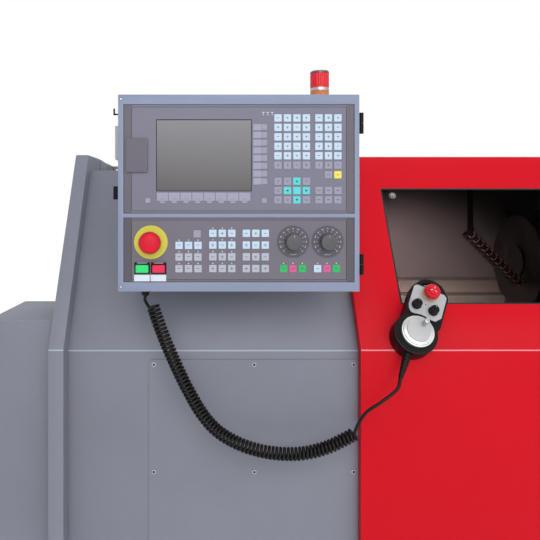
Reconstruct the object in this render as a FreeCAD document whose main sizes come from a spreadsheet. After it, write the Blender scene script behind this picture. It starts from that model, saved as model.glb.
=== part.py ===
import FreeCAD, Part
import Sketcher
import math
import os

# A slant-bed turning lathe with a sliding front door, a hinged operator's console and a hand pendant.
# Millimetres. X runs along the spindle to the right, -Y is the operator's side and Z is up.
# The origin is on the floor, below the middle of the machine.

V = FreeCAD.Vector
doc = FreeCAD.newDocument("turning_lathe")
sheet = doc.addObject("Spreadsheet::Sheet", "dims")


class Dim:
    """A size that knows both its value and the sheet expression that gives it."""

    def __init__(self, value, text):
        self.value = float(value)
        self.text = text

    def __add__(self, other):
        other = as_dim(other)
        return Dim(self.value + other.value, f"({self.text} + {other.text})")

    def __sub__(self, other):
        other = as_dim(other)
        return Dim(self.value - other.value, f"({self.text} - {other.text})")

    def __mul__(self, other):
        other = as_dim(other)
        return Dim(self.value * other.value, f"{self.text} * {other.text}")

    def __truediv__(self, other):
        other = as_dim(other)
        return Dim(self.value / other.value, f"{self.text} / {other.text}")

    def __radd__(self, other):
        return as_dim(other) + self

    def __rsub__(self, other):
        return as_dim(other) - self

    def __rmul__(self, other):
        return as_dim(other) * self

    def __neg__(self):
        return Dim(-self.value, f"(0 - {self.text})")


def as_dim(size):
    return size if isinstance(size, Dim) else Dim(size, f"({size:.4f})")


def sine(angle):
    return Dim(math.sin(math.radians(angle.value)), f"sin({angle.text})")


def cosine(angle):
    return Dim(math.cos(math.radians(angle.value)), f"cos({angle.text})")


def tangent(angle):
    return Dim(math.tan(math.radians(angle.value)), f"tan({angle.text})")


class Sizes:
    """The driving dimensions, one named cell of the sheet each."""


size = Sizes()
DRIVING = [
    # Casing outline
    ("front_y", -553, "front face of the side panels"),
    ("back_y", 650, "back face"),
    ("bend_z", 1201, "bend where the front starts to lean back"),
    ("slant", 30, "lean of the upper front from vertical, degrees"),
    ("roof_z", 1600, "top of the roof"),
    ("foot_z", 110, "underside of the casing, on its levelling feet"),
    ("left_x", -908.4, "outer face of the left side panel"),
    ("right_x", 1050, "outer face of the right side panel"),
    ("panel_width", 30, "width of a side panel's front edge"),
    ("sheet_metal", 3, "thickness of the fixed covers"),
    ("sill_z", 700, "top of the front sill that carries the lower rail"),
    ("cover_foot_z", 712, "lower edge of the front covers"),
    ("base_top_z", 640, "top of the base, where the bed stands"),
    ("cover_recess", 35, "how far the headstock cover lies inside the panels"),
    ("cover_right_x", -270, "work area wall at the headstock"),
    # Sliding door
    ("door_left_x", -302, "left edge of the closed door"),
    ("door_length", 760, "length of the door"),
    ("door_inset", 7, "door skin inside the side panels' outline"),
    ("door_lift", 3, "door roof above the line of its inset"),
    ("door_sheet", 2.5, "thickness of the door skin"),
    ("door_flange", 22, "depth of the door's folded edges"),
    ("door_foot_z", 716, "lower edge of the door"),
    ("door_back_y", 12, "rear edge of the door's roof"),
    ("window_left_x", -209, "left edge of the window opening"),
    ("window_length", 574, "length of the window opening"),
    ("window_up", 94.6, "lower edge of the window, up the slope from the bend"),
    ("window_height", 277, "window opening, measured up the slope"),
    ("glass", 8, "thickness of the laminated window"),
    # Bed, spindle and slides
    ("bed_slant", 45, "slope of the bed, degrees"),
    ("spindle_y", -140, "spindle axis"),
    ("spindle_z", 1080, "spindle axis above the floor"),
    ("bed_drop", 230, "spindle axis to the sloping bed face"),
    ("bed_left_x", -620, "left end of the bed"),
    ("bed_length", 1620, "length of the bed"),
    ("way_rise", 20, "height of the guideways on the bed"),
    ("slide_gap", 0.5, "running gap on the guideways"),
    ("running_gap", 0.08, "radial gap of turning and sliding fits"),
    ("chuck_radius", 105, "three-jaw power chuck, 210 mm"),
    ("chuck_face_x", -170, "front face of the chuck"),
    ("chuck_back_x", -262, "back face of the chuck"),
    ("bar_bore", 30, "radius of the bar passage"),
    ("bar_entry", 90, "side of the bar entry in the left panel"),
    ("jaw_width", 23.4, "width of a master jaw"),
    ("pulley_radius", 110, "pulley on the spindle"),
    ("motor_pulley_radius", 70, "pulley on the motor"),
    ("pulley_x", -690, "left face of the belt pulleys"),
    ("pulley_width", 50, "width of the belt pulleys"),
    ("motor_y", 120, "motor axis"),
    ("motor_z", 830, "motor axis above the floor"),
    ("belt", 8, "thickness of the drive belt"),
    ("screw_radius", 14, "ball screw of the carriage"),
    ("screw_slope", 250, "ball screw up the slope from the spindle axis"),
    ("turret_slope", 330, "turret axis up the slope from the spindle axis"),
    ("turret_radius", 145, "turret disc, across its corners"),
    ("turret_x", 347, "left face of the turret disc"),
    ("turret_width", 63, "thickness of the turret disc"),
    ("saddle_x", 422, "left end of the saddle"),
    ("saddle_length", 258, "length of the saddle"),
    ("tailstock_x", 640, "left end of the tailstock"),
    ("tailstock_length", 200, "length of the tailstock"),
    ("quill_radius", 35, "tailstock quill"),
    # Console
    ("console_x", -763.3, "left edge of the console"),
    ("console_z", 1323.4, "lower edge of the console"),
    ("console_length", 439.3, "width of the console"),
    ("console_height", 358.5, "height of the console"),
    ("console_y", -615, "front face of the console"),
    ("console_door", 18, "thickness of the hinged console front"),
    ("console_wall", 3, "wall of the console box"),
    ("key", 13.4, "side of a square key"),
    ("key_pitch", 17.2, "pitch of the keys"),
    ("key_rise", 1.2, "height of a key above its panel"),
    # Hand pendant
    ("pendant_x", -203, "dial axis of the pendant"),
    ("pendant_up", 22.5, "dial axis up the slope from the door's bend"),
    ("pendant_tilt", -25, "pendant turned on the door, degrees"),
    ("pendant_depth", 38, "thickness of the pendant body"),
    ("dial_radius", 30.5, "hand wheel"),
    # Curly cord
    ("cord_radius", 2.0, "cord, half its diameter across the corners"),
    ("curl_radius", 11, "centre of the cord round the curl's axis"),
    ("curls", 24, "number of curls"),
]
for number, (alias, value, note) in enumerate(DRIVING, start=1):
    sheet.set(f"A{number}", note)
    sheet.set(f"B{number}", str(value))
    sheet.setAlias(f"B{number}", alias)
    setattr(size, alias, Dim(value, f"dims.{alias}"))
doc.recompute()

nodes = {}


def node(name, thing):
    """Names the finished sub-part."""
    thing.Label = name
    nodes[name] = thing
    return thing


def bind(thing, field, amount):
    thing.setExpression(field, as_dim(amount).text)


class Frame:
    """A leaning set of axes: X stays along the machine, and the rest is tilted about it."""

    def __init__(self, origin, tilt=0.0, spin=0.0):
        self.origin = [as_dim(v) for v in origin]
        self.tilt = as_dim(tilt)
        self.spin = as_dim(spin)

    def point(self, x, y, z):
        x, y, z = as_dim(x), as_dim(y), as_dim(z)
        across = x * cosine(self.spin) - y * sine(self.spin)
        up = x * sine(self.spin) + y * cosine(self.spin)
        return (
            self.origin[0] + across,
            self.origin[1] + (up * cosine(self.tilt) - z * sine(self.tilt)),
            self.origin[2] + (up * sine(self.tilt) + z * cosine(self.tilt)),
        )

    def rotation(self):
        lean = FreeCAD.Rotation(V(1, 0, 0), self.tilt.value)
        return lean * FreeCAD.Rotation(V(0, 0, 1), self.spin.value)

    def vector(self, x, y, z):
        return V(*(c.value for c in self.point(x, y, z)))


def place(thing, frame, at, turn=None):
    """Sets a piece in its frame, at a point that follows the sheet."""
    point = frame.point(*at)
    rotation = frame.rotation()
    if turn is not None:
        rotation = rotation * turn
    thing.Placement = FreeCAD.Placement(V(*(c.value for c in point)), rotation)
    for axis, amount in zip("xyz", point):
        bind(thing, f"Placement.Base.{axis}", amount)
    return thing


def block(frame, at, extent, name="block"):
    thing = doc.addObject("Part::Box", name)
    for field, amount in zip(("Length", "Width", "Height"), extent):
        bind(thing, field, amount)
    return place(thing, frame, at)


ALONG_X = FreeCAD.Rotation(V(0, 1, 0), 90)


def rod(frame, at, radius, length, turn=None, name="rod"):
    thing = doc.addObject("Part::Cylinder", name)
    bind(thing, "Radius", radius)
    bind(thing, "Height", length)
    return place(thing, frame, at, turn)


def bar(frame, at, radius, length, sides, turn=None, name="bar"):
    """A many-sided bar, by the radius across its corners."""
    thing = doc.addObject("Part::Prism", name)
    thing.Polygon = sides
    bind(thing, "Circumradius", radius)
    bind(thing, "Height", length)
    return place(thing, frame, at, turn)


def cut(base, *tools):
    for tool in tools:
        result = doc.addObject("Part::Cut", "cut")
        result.Base = base
        result.Tool = tool
        base = result
    return base


def fuse(*parts):
    result = doc.addObject("Part::MultiFuse", "fuse")
    result.Shapes = list(parts)
    result.Refine = True
    return result


def group(*parts):
    result = doc.addObject("Part::Compound", "group")
    result.Links = list(parts)
    return result


def origin_plane(body, role):
    return next(f for f in body.Origin.OriginFeatures if f.Role == role)


def outline(body, role, points, offset=0.0):
    """A closed sketch whose corners are held from the origin by the sheet."""
    sketch = body.newObject("Sketcher::SketchObject", "outline")
    sketch.AttachmentSupport = [(origin_plane(body, role), "")]
    sketch.MapMode = "FlatFace"
    bind(sketch, "AttachmentOffset.Base.z", offset)
    points = [(as_dim(a), as_dim(b)) for a, b in points]
    count = len(points)
    for i, (a, b) in enumerate(points):
        c, d = points[(i + 1) % count]
        line = Part.LineSegment(V(a.value, b.value, 0), V(c.value, d.value, 0))
        sketch.addGeometry(line)
    for i in range(count):
        sketch.addConstraint(Sketcher.Constraint("Coincident", i, 2, (i + 1) % count, 1))
    for i, (a, b) in enumerate(points):
        for kind, amount in (("DistanceX", a), ("DistanceY", b)):
            held = sketch.addConstraint(Sketcher.Constraint(kind, i, 1, amount.value))
            bind(sketch, f"Constraints[{held}]", amount)
    return sketch


def prism(frame, points, x, length, name="profile"):
    """A section in the frame's Y and Z, drawn out along X."""
    body = doc.addObject("PartDesign::Body", name)
    pad = body.newObject("PartDesign::Pad", "pad")
    pad.Profile = outline(body, "YZ_Plane", points)
    bind(pad, "Length", length)
    body.Tip = pad
    return place(body, frame, (x, 0, 0))


def pocket_along_x(body, points, offset, length):
    pocket = body.newObject("PartDesign::Pocket", "pocket")
    pocket.Profile = outline(body, "YZ_Plane", points, offset)
    pocket.Reversed = True
    bind(pocket, "Length", length)
    body.Tip = pocket
    return body


def plate(frame, points, z, thickness, corner=None, name="plate"):
    """An outline in the frame's X and Y, as thick as given along its Z."""
    body = doc.addObject("PartDesign::Body", name)
    pad = body.newObject("PartDesign::Pad", "pad")
    pad.Profile = outline(body, "XY_Plane", points)
    bind(pad, "Length", thickness)
    body.Tip = pad
    if corner is not None:
        doc.recompute()
        upright = [
            f"Edge{i}"
            for i, edge in enumerate(pad.Shape.Edges, start=1)
            if abs(edge.tangentAt(edge.FirstParameter).z) > 0.99
        ]
        fillet = body.newObject("PartDesign::Fillet", "corners")
        fillet.Base = (pad, upright)
        bind(fillet, "Radius", corner)
        body.Tip = fillet
    return place(body, frame, (0, 0, z))


def rectangle(x, y, length, height):
    x, y = as_dim(x), as_dim(y)
    return [(x, y), (x + length, y), (x + length, y + height), (x, y + height)]


def capped(frame, at, radius, height, sides, bevel, bevel_up):
    """A many-sided button: a bar whose top edge is bevelled, so far in and so far down."""
    body = doc.addObject("PartDesign::Body", "cap")
    angles = [2 * math.pi * i / sides for i in range(sides)]
    corners = [(radius * math.cos(a), radius * math.sin(a)) for a in angles]
    pad = body.newObject("PartDesign::Pad", "pad")
    pad.Profile = outline(body, "XY_Plane", corners)
    bind(pad, "Length", height)
    doc.recompute()
    top = pad.Shape.BoundBox.ZMax - 1e-6
    rim = [
        f"Edge{i}"
        for i, edge in enumerate(pad.Shape.Edges, start=1)
        if all(corner.Z > top for corner in edge.Vertexes)
    ]
    chamfer = body.newObject("PartDesign::Chamfer", "bevel")
    chamfer.Base = (pad, rim)
    chamfer.ChamferType = "Two distances"
    bind(chamfer, "Size", bevel)
    bind(chamfer, "Size2", bevel_up)
    body.Tip = chamfer
    return place(body, frame, at)


def stepped(frame, at, steps, sides, turn=None, bevel=None, bevel_up=None):
    """A small turned piece in flat facets: its steps are (radius, foot, top), from below."""
    bevel_up = bevel if bevel_up is None else bevel_up
    local = Frame((0, 0, 0))
    stages = []
    for radius, foot, top in steps:
        foot, height = as_dim(foot), as_dim(top) - as_dim(foot)
        radius = as_dim(radius)
        if bevel is not None and (radius, foot.value) == (steps[-1][0], as_dim(steps[-1][1]).value):
            stages.append(capped(local, (0, 0, foot), radius, height, sides, bevel, bevel_up))
        else:
            stages.append(bar(local, (0, 0, foot), radius, height, sides))
    return place(fuse(*stages), frame, at, turn)


world = Frame((0, 0, 0))
bed = Frame((0, size.spindle_y, size.spindle_z), tilt=size.bed_slant)

# ---- Casing outline -------------------------------------------------------------------------
# The front stands upright to the bend, leans back to the roof and runs level to the rear.
# A cover that lies inside the outline is the same line moved in by its depth.


def casing_line(inset, foot, rear, lift=0):
    inset = as_dim(inset)
    half_lean = size.slant / 2
    face = size.front_y + inset
    bend = size.bend_z - inset * tangent(half_lean)
    roof = size.roof_z - inset + lift
    crest = face + (roof - bend) * tangent(size.slant)
    return [(face, as_dim(foot)), (face, bend), (crest, roof), (as_dim(rear), roof)]


def casing_band(inset, depth, foot, rear, lift=0):
    outer = casing_line(inset, foot, rear, lift)
    inner = casing_line(as_dim(inset) + depth, foot, rear, lift)
    return outer + inner[::-1]


inner_left_x = size.left_x + size.panel_width
inner_right_x = size.right_x - size.panel_width
inner_length = inner_right_x - inner_left_x

# Side panels: deep folded boxes that close both ends of the machine. The left one is made of four
# fields round the square opening where the bar stock enters.
side_outline = casing_line(0, size.foot_z, size.back_y) + [(size.back_y, size.foot_z)]
entry_front = size.spindle_y - size.bar_entry / 2
entry_rear = size.spindle_y + size.bar_entry / 2
entry_foot = size.spindle_z - size.bar_entry / 2
entry_top = size.spindle_z + size.bar_entry / 2
front_field = casing_line(0, size.foot_z, entry_front) + [(entry_front, size.foot_z)]
rear_field = [
    (entry_rear, size.foot_z),
    (entry_rear, size.roof_z),
    (size.back_y, size.roof_z),
    (size.back_y, size.foot_z),
]
lower_field = block(
    world,
    (size.left_x, entry_front, size.foot_z),
    (size.panel_width, size.bar_entry, entry_foot - size.foot_z),
)
upper_field = block(
    world,
    (size.left_x, entry_front, entry_top),
    (size.panel_width, size.bar_entry, size.roof_z - entry_top),
)
node(
    "left_side_panel",
    group(
        prism(world, front_field, size.left_x, size.panel_width),
        prism(world, rear_field, size.left_x, size.panel_width),
        lower_field,
        upper_field,
    ),
)
right_panel = prism(world, side_outline, inner_right_x, size.panel_width)
tank_mouth = block(world, (inner_right_x - 1, -460, 118), (size.panel_width + 2, 670, 270))
node("right_side_panel", cut(right_panel, tank_mouth))

# Left end guard: a lower box outside the left panel, over the services, beside the bar entry.
guard_left_x = -size.right_x
node(
    "left_end_guard",
    block(
        world,
        (guard_left_x, -493, size.foot_z),
        (size.left_x - guard_left_x, 238, 1248 - size.foot_z),
    ),
)

# Machine base: a box with a front sill, a chip chute and a bay for the coolant tank.
base_outline = [
    (size.front_y, size.foot_z),
    (size.front_y, size.sill_z),
    (-500, size.sill_z),
    (-500, size.base_top_z),
    (640, size.base_top_z),
    (640, size.foot_z),
]
base_block = prism(world, base_outline, inner_left_x, inner_length)
tank_bay = block(world, (-200, -450, 120), (inner_right_x + 201, 650, 265))
chip_chute = block(world, (-240, -490, 380), (1120, 280, 262))
node("machine_base", cut(base_block, tank_bay, chip_chute))

# Levelling feet: square pads with a hexagon stud up to the base.
feet = []
for foot_x in (-800, 70, 940):
    for foot_y in (-470, 560):
        pad = block(world, (foot_x - 45, foot_y - 45, 0), (90, 90, 18), "foot_pad")
        stud = doc.addObject("Part::Prism", "foot_stud")
        stud.Polygon = 6
        stud.Circumradius = 16
        bind(stud, "Height", size.foot_z - 18)
        place(stud, world, (foot_x, foot_y, 18))
        feet.append(fuse(pad, stud))
node("levelling_feet", group(*feet))

# Coolant tank: an open tray that draws out of the right end, with a grip slot in its front.
tank = block(world, (-190, -440, 120.5), (1236, 630, 250))
tank_room = block(world, (-186, -436, 124.5), (1226, 622, 260))
fascia = block(world, (1044, -455, 123), (6, 660, 260))
grip_slot = block(world, (1030, -185, 330), (30, 120, 22))
node("coolant_tank", cut(fuse(cut(tank, tank_room), fascia), grip_slot))

# Headstock cover: folded sheet set back from the panels so that the door slides over it,
# with the wall of the work area at its right end.
cover_length = size.cover_right_x - inner_left_x
cover_band = prism(
    world,
    casing_band(size.cover_recess, size.sheet_metal, size.cover_foot_z, 23.5),
    inner_left_x,
    cover_length,
)
cover_inner = casing_line(size.cover_recess + size.sheet_metal, size.cover_foot_z, 430)
bed_clearance = 8.5
bed_line = size.spindle_z - size.spindle_y - size.bed_drop / cosine(size.bed_slant) + bed_clearance
wall_outline = cover_inner + [
    (430, 1231),
    (1231 - bed_line, 1231),
    (size.cover_foot_z - bed_line, size.cover_foot_z),
]
wall_x = size.cover_right_x - size.sheet_metal
work_wall = prism(world, wall_outline, wall_x, size.sheet_metal)
nose_hole = rod(bed, (wall_x - 1, 0, 0), 95, 5, ALONG_X)
node("headstock_cover", fuse(cover_band, cut(work_wall, nose_hole)))

# Service panel: a flat lid screwed to the lower half of the headstock cover.
cover_face = size.front_y + size.cover_recess
cover_front = Frame((0, cover_face, 0), tilt=90)
lid = rectangle(-717, 730, 416, 444)
node("service_panel", plate(cover_front, lid, 0, 3, corner=7))

# Right front cover: flush with the side panels, with a folded edge beside the door.
right_cover_x = size.door_left_x + size.door_length + 6
right_band = prism(
    world,
    casing_band(0, size.sheet_metal, size.cover_foot_z, 20),
    right_cover_x,
    inner_right_x - right_cover_x,
)
right_fold = prism(
    world, casing_band(0, 25, size.cover_foot_z, 20), right_cover_x, size.sheet_metal
)
node("right_front_cover", fuse(right_band, right_fold))

# Rear housing: the back wall, the rear half of the roof and a lip down behind the door's roof.
rear_outline = [
    (24, 1566),
    (24, size.roof_z),
    (size.back_y, size.roof_z),
    (size.back_y, size.foot_z),
    (size.back_y - 6, size.foot_z),
    (size.back_y - 6, size.roof_z - 6),
    (30, size.roof_z - 6),
    (30, 1566),
]
node("rear_housing", prism(world, rear_outline, inner_left_x, inner_length))

# Rear guard: the sheet that closes the work area behind the bed.
guard_y = 430.5
guard = block(
    world,
    (size.cover_right_x, guard_y, 1200),
    (inner_right_x - size.cover_right_x, size.sheet_metal, size.roof_z - 6 - 1200),
)
node("rear_guard", guard)

# Door rails: one on the sill under the door and one behind its roof.
rail_start = inner_left_x + 8
rail_length = inner_length - 16
lower_rail = block(world, (rail_start, -541, size.sill_z), (rail_length, 10, 12))
upper_rail = block(world, (rail_start, 15, 1572), (right_cover_x - rail_start - 1, 9, 18))
node("door_rails", group(lower_rail, upper_rail))

# ---- Bed, headstock and spindle -----------------------------------------------------------------
# The bed is a wedge-shaped casting: its face slopes at 45 degrees below the spindle axis.
bed_toe = bed_line - bed_clearance
bed_outline = [
    (-200, size.base_top_z),
    (-200, bed_toe - 200),
    (330, bed_toe + 330),
    (420, bed_toe + 330),
    (420, size.base_top_z),
]
casting = prism(world, bed_outline, size.bed_left_x, size.bed_length)
way_x = -250
way_length = size.bed_left_x + size.bed_length - way_x
ways = [
    block(bed, (way_x, w, -size.bed_drop), (way_length, wide, size.way_rise), "guideway")
    for w, wide in ((-190, 30), (10, 30), (100, 34), (370, 34))
]
screw_at = size.way_rise + 1 - size.bed_drop
screw_blocks = [
    block(bed, (x, size.screw_slope - 25, -size.bed_drop), (20, 50, 45), "bearing_block")
    for x in (-255, 940)
]
screw_hole = bar(
    bed, (-260, size.screw_slope, screw_at), size.screw_radius + 2, 1230, 16, ALONG_X
)
node("slant_bed", cut(fuse(casting, *ways, *screw_blocks), screw_hole))

# Headstock: a ribbed casting on the bed, bored for the spindle.
head_outline = [
    (-170, -size.bed_drop),
    (-170, 60),
    (-110, 140),
    (110, 140),
    (170, 60),
    (170, -size.bed_drop),
]
head_block = prism(bed, head_outline, -600, 310)
head_boss = bar(bed, (-290, 0, 0), 120, 12, 24, ALONG_X)
spindle_bore = rod(bed, (-601, 0, 0), 60 + size.running_gap, 330, ALONG_X)
node("headstock", cut(fuse(head_block, head_boss), spindle_bore))

# Spindle: hollow, with its belt pulley at the rear end and the chuck flange in front.
flange_x = size.chuck_back_x - 14
rear_x = size.pulley_x - 30
shaft = bar(bed, (rear_x, 0, 0), 60, size.chuck_back_x - rear_x, 36, ALONG_X)
drive_wheel = bar(
    bed, (size.pulley_x, 0, 0), size.pulley_radius, size.pulley_width, 32, ALONG_X
)
flange = bar(bed, (flange_x, 0, 0), 85, 14, 30, ALONG_X)
passage = rod(
    bed, (rear_x - 1, 0, 0), size.bar_bore, size.chuck_back_x - rear_x + 2, ALONG_X
)
node("spindle", cut(fuse(shaft, drive_wheel, flange), passage))

# Chuck body: a drum with a bar passage and three radial slots for the jaws.
chuck_depth = size.chuck_face_x - size.chuck_back_x
chuck_drum = bar(bed, (size.chuck_back_x, 0, 0), size.chuck_radius, chuck_depth, 40, ALONG_X)
chuck_bore = rod(bed, (size.chuck_back_x - 1, 0, 0), size.bar_bore, chuck_depth + 2, ALONG_X)
axis_at = V(0, size.spindle_y.value, size.spindle_z.value)
spindle_axes = Frame((0, size.spindle_y, size.spindle_z))


def swing(thing, degrees):
    """Turns a piece about the spindle axis."""
    turn = FreeCAD.Rotation(V(1, 0, 0), degrees)
    thing.Placement = FreeCAD.Placement(V(0, 0, 0), turn, axis_at)
    return thing


slots = []
for jaw in range(3):
    slot = block(
        spindle_axes,
        (size.chuck_face_x - 26, -size.jaw_width / 2 - size.running_gap, 0),
        (27, size.jaw_width + size.running_gap * 2, size.chuck_radius + 5),
        "slot",
    )
    slots.append(swing(group(slot), 120 * jaw))
node("chuck_body", cut(chuck_drum, chuck_bore, *slots))

# Chuck jaws: a master jaw in the slot and a stepped top jaw in front of it.
for jaw in range(3):
    master = block(
        spindle_axes,
        (size.chuck_face_x - 25.5, -size.jaw_width / 2, 34),
        (25.5, size.jaw_width, 64),
        "master_jaw",
    )
    steps = [
        (size.chuck_face_x, 38),
        (size.chuck_face_x + 50, 38),
        (size.chuck_face_x + 50, 62),
        (size.chuck_face_x + 25, 62),
        (size.chuck_face_x + 25, 95),
        (size.chuck_face_x, 95),
    ]
    jaw_axes = Frame((0, size.spindle_y + 15, size.spindle_z), tilt=90)
    top_jaw = plate(jaw_axes, steps, 0, 30)
    node(f"chuck_jaw_{jaw + 1}", swing(fuse(master, top_jaw), 120 * jaw))

# Spindle motor, its pulley and the belt that drives the spindle.
motor_axes = Frame((0, size.motor_y, size.motor_z))
motor_drum = bar(motor_axes, (-870, 0, 0), 95, 163, 24, ALONG_X)
motor_foot = block(motor_axes, (-860, -90, size.base_top_z - size.motor_z), (140, 180, 120))
node("spindle_motor", fuse(motor_drum, motor_foot))
motor_shaft = bar(motor_axes, (-706.5, 0, 0), 19, 20, 12, ALONG_X)
motor_wheel = bar(
    motor_axes,
    (size.pulley_x, 0, 0),
    size.motor_pulley_radius,
    size.pulley_width,
    32,
    ALONG_X,
)
node("motor_pulley", fuse(motor_shaft, motor_wheel))


def belt_face(grow):
    """The face inside a belt line that runs round both pulleys, grown by an amount."""
    big = size.pulley_radius.value + grow
    small = size.motor_pulley_radius.value + grow
    motor_at = V(0, size.motor_y.value, size.motor_z.value)
    along = motor_at - axis_at
    lean = math.degrees(math.acos((big - small) / along.Length))
    along.normalize()

    def wrap(centre, radius, start, sweep_angle, steps):
        for step in range(steps + 1):
            turn = FreeCAD.Rotation(V(1, 0, 0), start + sweep_angle * step / steps)
            corners.append(centre + turn.multVec(along) * radius)

    corners = []
    wrap(axis_at, big, lean, 360 - 2 * lean, 18)
    wrap(motor_at, small, -lean, 2 * lean, 14)
    return Part.Face(Part.makePolygon(corners + corners[:1]))


belt_ring = belt_face(1.4 + size.belt.value).cut(belt_face(1.4))
belt = doc.addObject("Part::Feature", "belt")
belt.Shape = belt_ring.extrude(V(size.pulley_width.value - 8, 0, 0))
place(belt, world, (size.pulley_x + 4, 0, 0))
node("drive_belt", belt)

# ---- Carriage and turret ---------------------------------------------------------------------
# Ball screw of the carriage, in its two bearing blocks on the bed.
node(
    "z_ball_screw",
    rod(bed, (-258, size.screw_slope, screw_at), size.screw_radius, 1222, ALONG_X),
)

# Saddle: a plate across the upper guideways, channelled over the screw, with cross ways on top.
saddle_foot = size.way_rise + size.slide_gap - size.bed_drop
saddle_top = -150
saddle_outline = [
    (92, saddle_foot),
    (92, saddle_top),
    (415, saddle_top),
    (415, saddle_foot),
    (size.screw_slope + 18, saddle_foot),
    (size.screw_slope + 18, -190),
    (size.screw_slope - 18, -190),
    (size.screw_slope - 18, saddle_foot),
]
saddle_plate = prism(bed, saddle_outline, size.saddle_x, size.saddle_length)
cross_ways = [
    block(bed, (size.saddle_x + x, 92, saddle_top), (30, 323, 12), "cross_way")
    for x in (23, 203)
]
node("saddle", fuse(saddle_plate, *cross_ways))

# Cross slide and the turret head bolted on it.
node("cross_slide", block(bed, (size.saddle_x + 13, 215, -137.5), (230, 220, 37.5)))
head_section = [(235, -100), (235, 60), (270, 95), (395, 95), (425, 60), (425, -100)]
turret_block = prism(bed, head_section, size.saddle_x + 3, 165)
turret_boss = bar(bed, (size.saddle_x - 10, size.turret_slope, 0), 60, 13, 24, ALONG_X)
node("turret_head", fuse(turret_block, turret_boss))

# Turret disc: twelve flats, with a square-shank tool in every second one.
turret_axes = Frame(bed.point(0, size.turret_slope, 0), tilt=size.bed_slant)
disc = doc.addObject("Part::Prism", "disc")
disc.Polygon = 12
bind(disc, "Circumradius", size.turret_radius)
bind(disc, "Height", size.turret_width)
place(disc, turret_axes, (size.turret_x, 0, 0), ALONG_X)
hub = bar(turret_axes, (size.turret_x - 7, 0, 0), 50, 10, 24, ALONG_X)
tools = []
for station in range(6):
    angle = math.radians(60 * station + 15)
    tool_turn = FreeCAD.Rotation(V(1, 0, 0), math.degrees(angle))
    tool = block(turret_axes, (size.turret_x + 10, 0, 0), (20, 70, 20), "tool")
    start = V(0, 112 * math.cos(angle) + 10 * math.sin(angle), 112 * math.sin(angle) - 10 * math.cos(angle))
    place(tool, turret_axes, (size.turret_x + 10, start.y, start.z), tool_turn)
    tools.append(tool)
node("turret_disc", fuse(disc, hub, *tools))

# ---- Tailstock ---------------------------------------------------------------------------------
tail_foot = block(bed, (size.tailstock_x, -195, saddle_foot), (size.tailstock_length, 255, 50))
tail_column = prism(
    bed,
    [(-110, -160), (-62, -10), (62, -10), (62, -160)],
    size.tailstock_x,
    size.tailstock_length,
)
tail_barrel = bar(
    bed, (size.tailstock_x - 15, 0, 0), 64, size.tailstock_length + 30, 24, ALONG_X
)
quill_bore = rod(
    bed,
    (size.tailstock_x - 20, 0, 0),
    size.quill_radius + size.running_gap,
    size.tailstock_length + 40,
    ALONG_X,
)
node("tailstock_body", cut(fuse(tail_foot, tail_column, tail_barrel), quill_bore))
quill_x = size.tailstock_x - 60
quill_tube = bar(bed, (quill_x, 0, 0), size.quill_radius, 240, 28, ALONG_X)
taper_bore = bar(bed, (quill_x - 1, 0, 0), 12.5, 46, 16, ALONG_X)
node("tailstock_quill", cut(quill_tube, taper_bore))
ALONG_MINUS_X = FreeCAD.Rotation(V(0, 1, 0), -90)
center_steps = [(12, 0, 42), (22, 42, 70), (17, 70, 100)]
center = stepped(bed, (quill_x + 40, 0, 0), center_steps, 16, ALONG_MINUS_X, bevel=16, bevel_up=29)
node("live_center", center)

# Cable chain: articulated links that carry the carriage's cables, seen through the window.
links = []
chain_start = V(163, 20, 1394)
chain_end = V(306, 20, 1252)
link_count = 12
chain_drop = math.atan2(chain_end.z - chain_start.z, chain_end.x - chain_start.x)
link_turn = FreeCAD.Rotation(V(0, 1, 0), -math.degrees(chain_drop))
for link in range(link_count):
    spot = chain_start + (chain_end - chain_start) * (link / (link_count - 1))
    link_box = doc.addObject("Part::Box", "link")
    link_box.Length, link_box.Width, link_box.Height = 17.5, 46, 26
    links.append(place(link_box, world, (spot.x, spot.y, spot.z), link_turn))
node("cable_chain", group(*links))

# ---- Sliding door --------------------------------------------------------------------------------
# The door is one folded tray: a skin with deep edges all round, and two shoes on the lower rail.
door_body = prism(
    world,
    casing_band(
        size.door_inset, size.door_flange, size.door_foot_z, size.door_back_y, size.door_lift
    ),
    size.door_left_x,
    size.door_length,
)
hollow = casing_band(
    size.door_inset + size.door_sheet,
    size.door_flange,
    size.door_foot_z + size.door_sheet,
    size.door_back_y - size.door_sheet,
    size.door_lift,
)
pocket_along_x(door_body, hollow, size.door_sheet, size.door_length - 2 * size.door_sheet)
door_face = Frame(
    (0, size.front_y + size.door_inset, size.bend_z - size.door_inset * tangent(size.slant / 2)),
    tilt=90 - size.slant,
)
window_hole = block(
    door_face,
    (size.window_left_x, size.window_up, -30),
    (size.window_length, size.window_height, 40),
)
shoes = []
for shoe_x in (12, 692):
    for shoe_y in (-545, -530.5):
        shoes.append(block(world, (size.door_left_x + shoe_x, shoe_y, 703), (60, 3.5, 13)))
node("door_panel", fuse(cut(door_body, window_hole), *shoes))

# Window: tinted laminated glass, bonded behind the skin.
node(
    "door_window",
    block(
        door_face,
        (
            size.window_left_x - 15,
            size.window_up - 15,
            -size.door_sheet - size.glass,
        ),
        (size.window_length + 30, size.window_height + 30, size.glass),
    ),
)

# Door handle: a tube on two posts, at the free end of the door.
door_front = Frame((0, size.front_y + size.door_inset, 0), tilt=90)
handle_x = size.door_left_x + size.door_length - 40
grip = bar(world, (handle_x, size.front_y + size.door_inset - 45, 880), 11.5, 260, 16)
posts = [bar(door_front, (handle_x, z, 0), 8, 45, 10) for z in (900, 1120)]
node("door_handle", fuse(grip, *posts))

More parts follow.
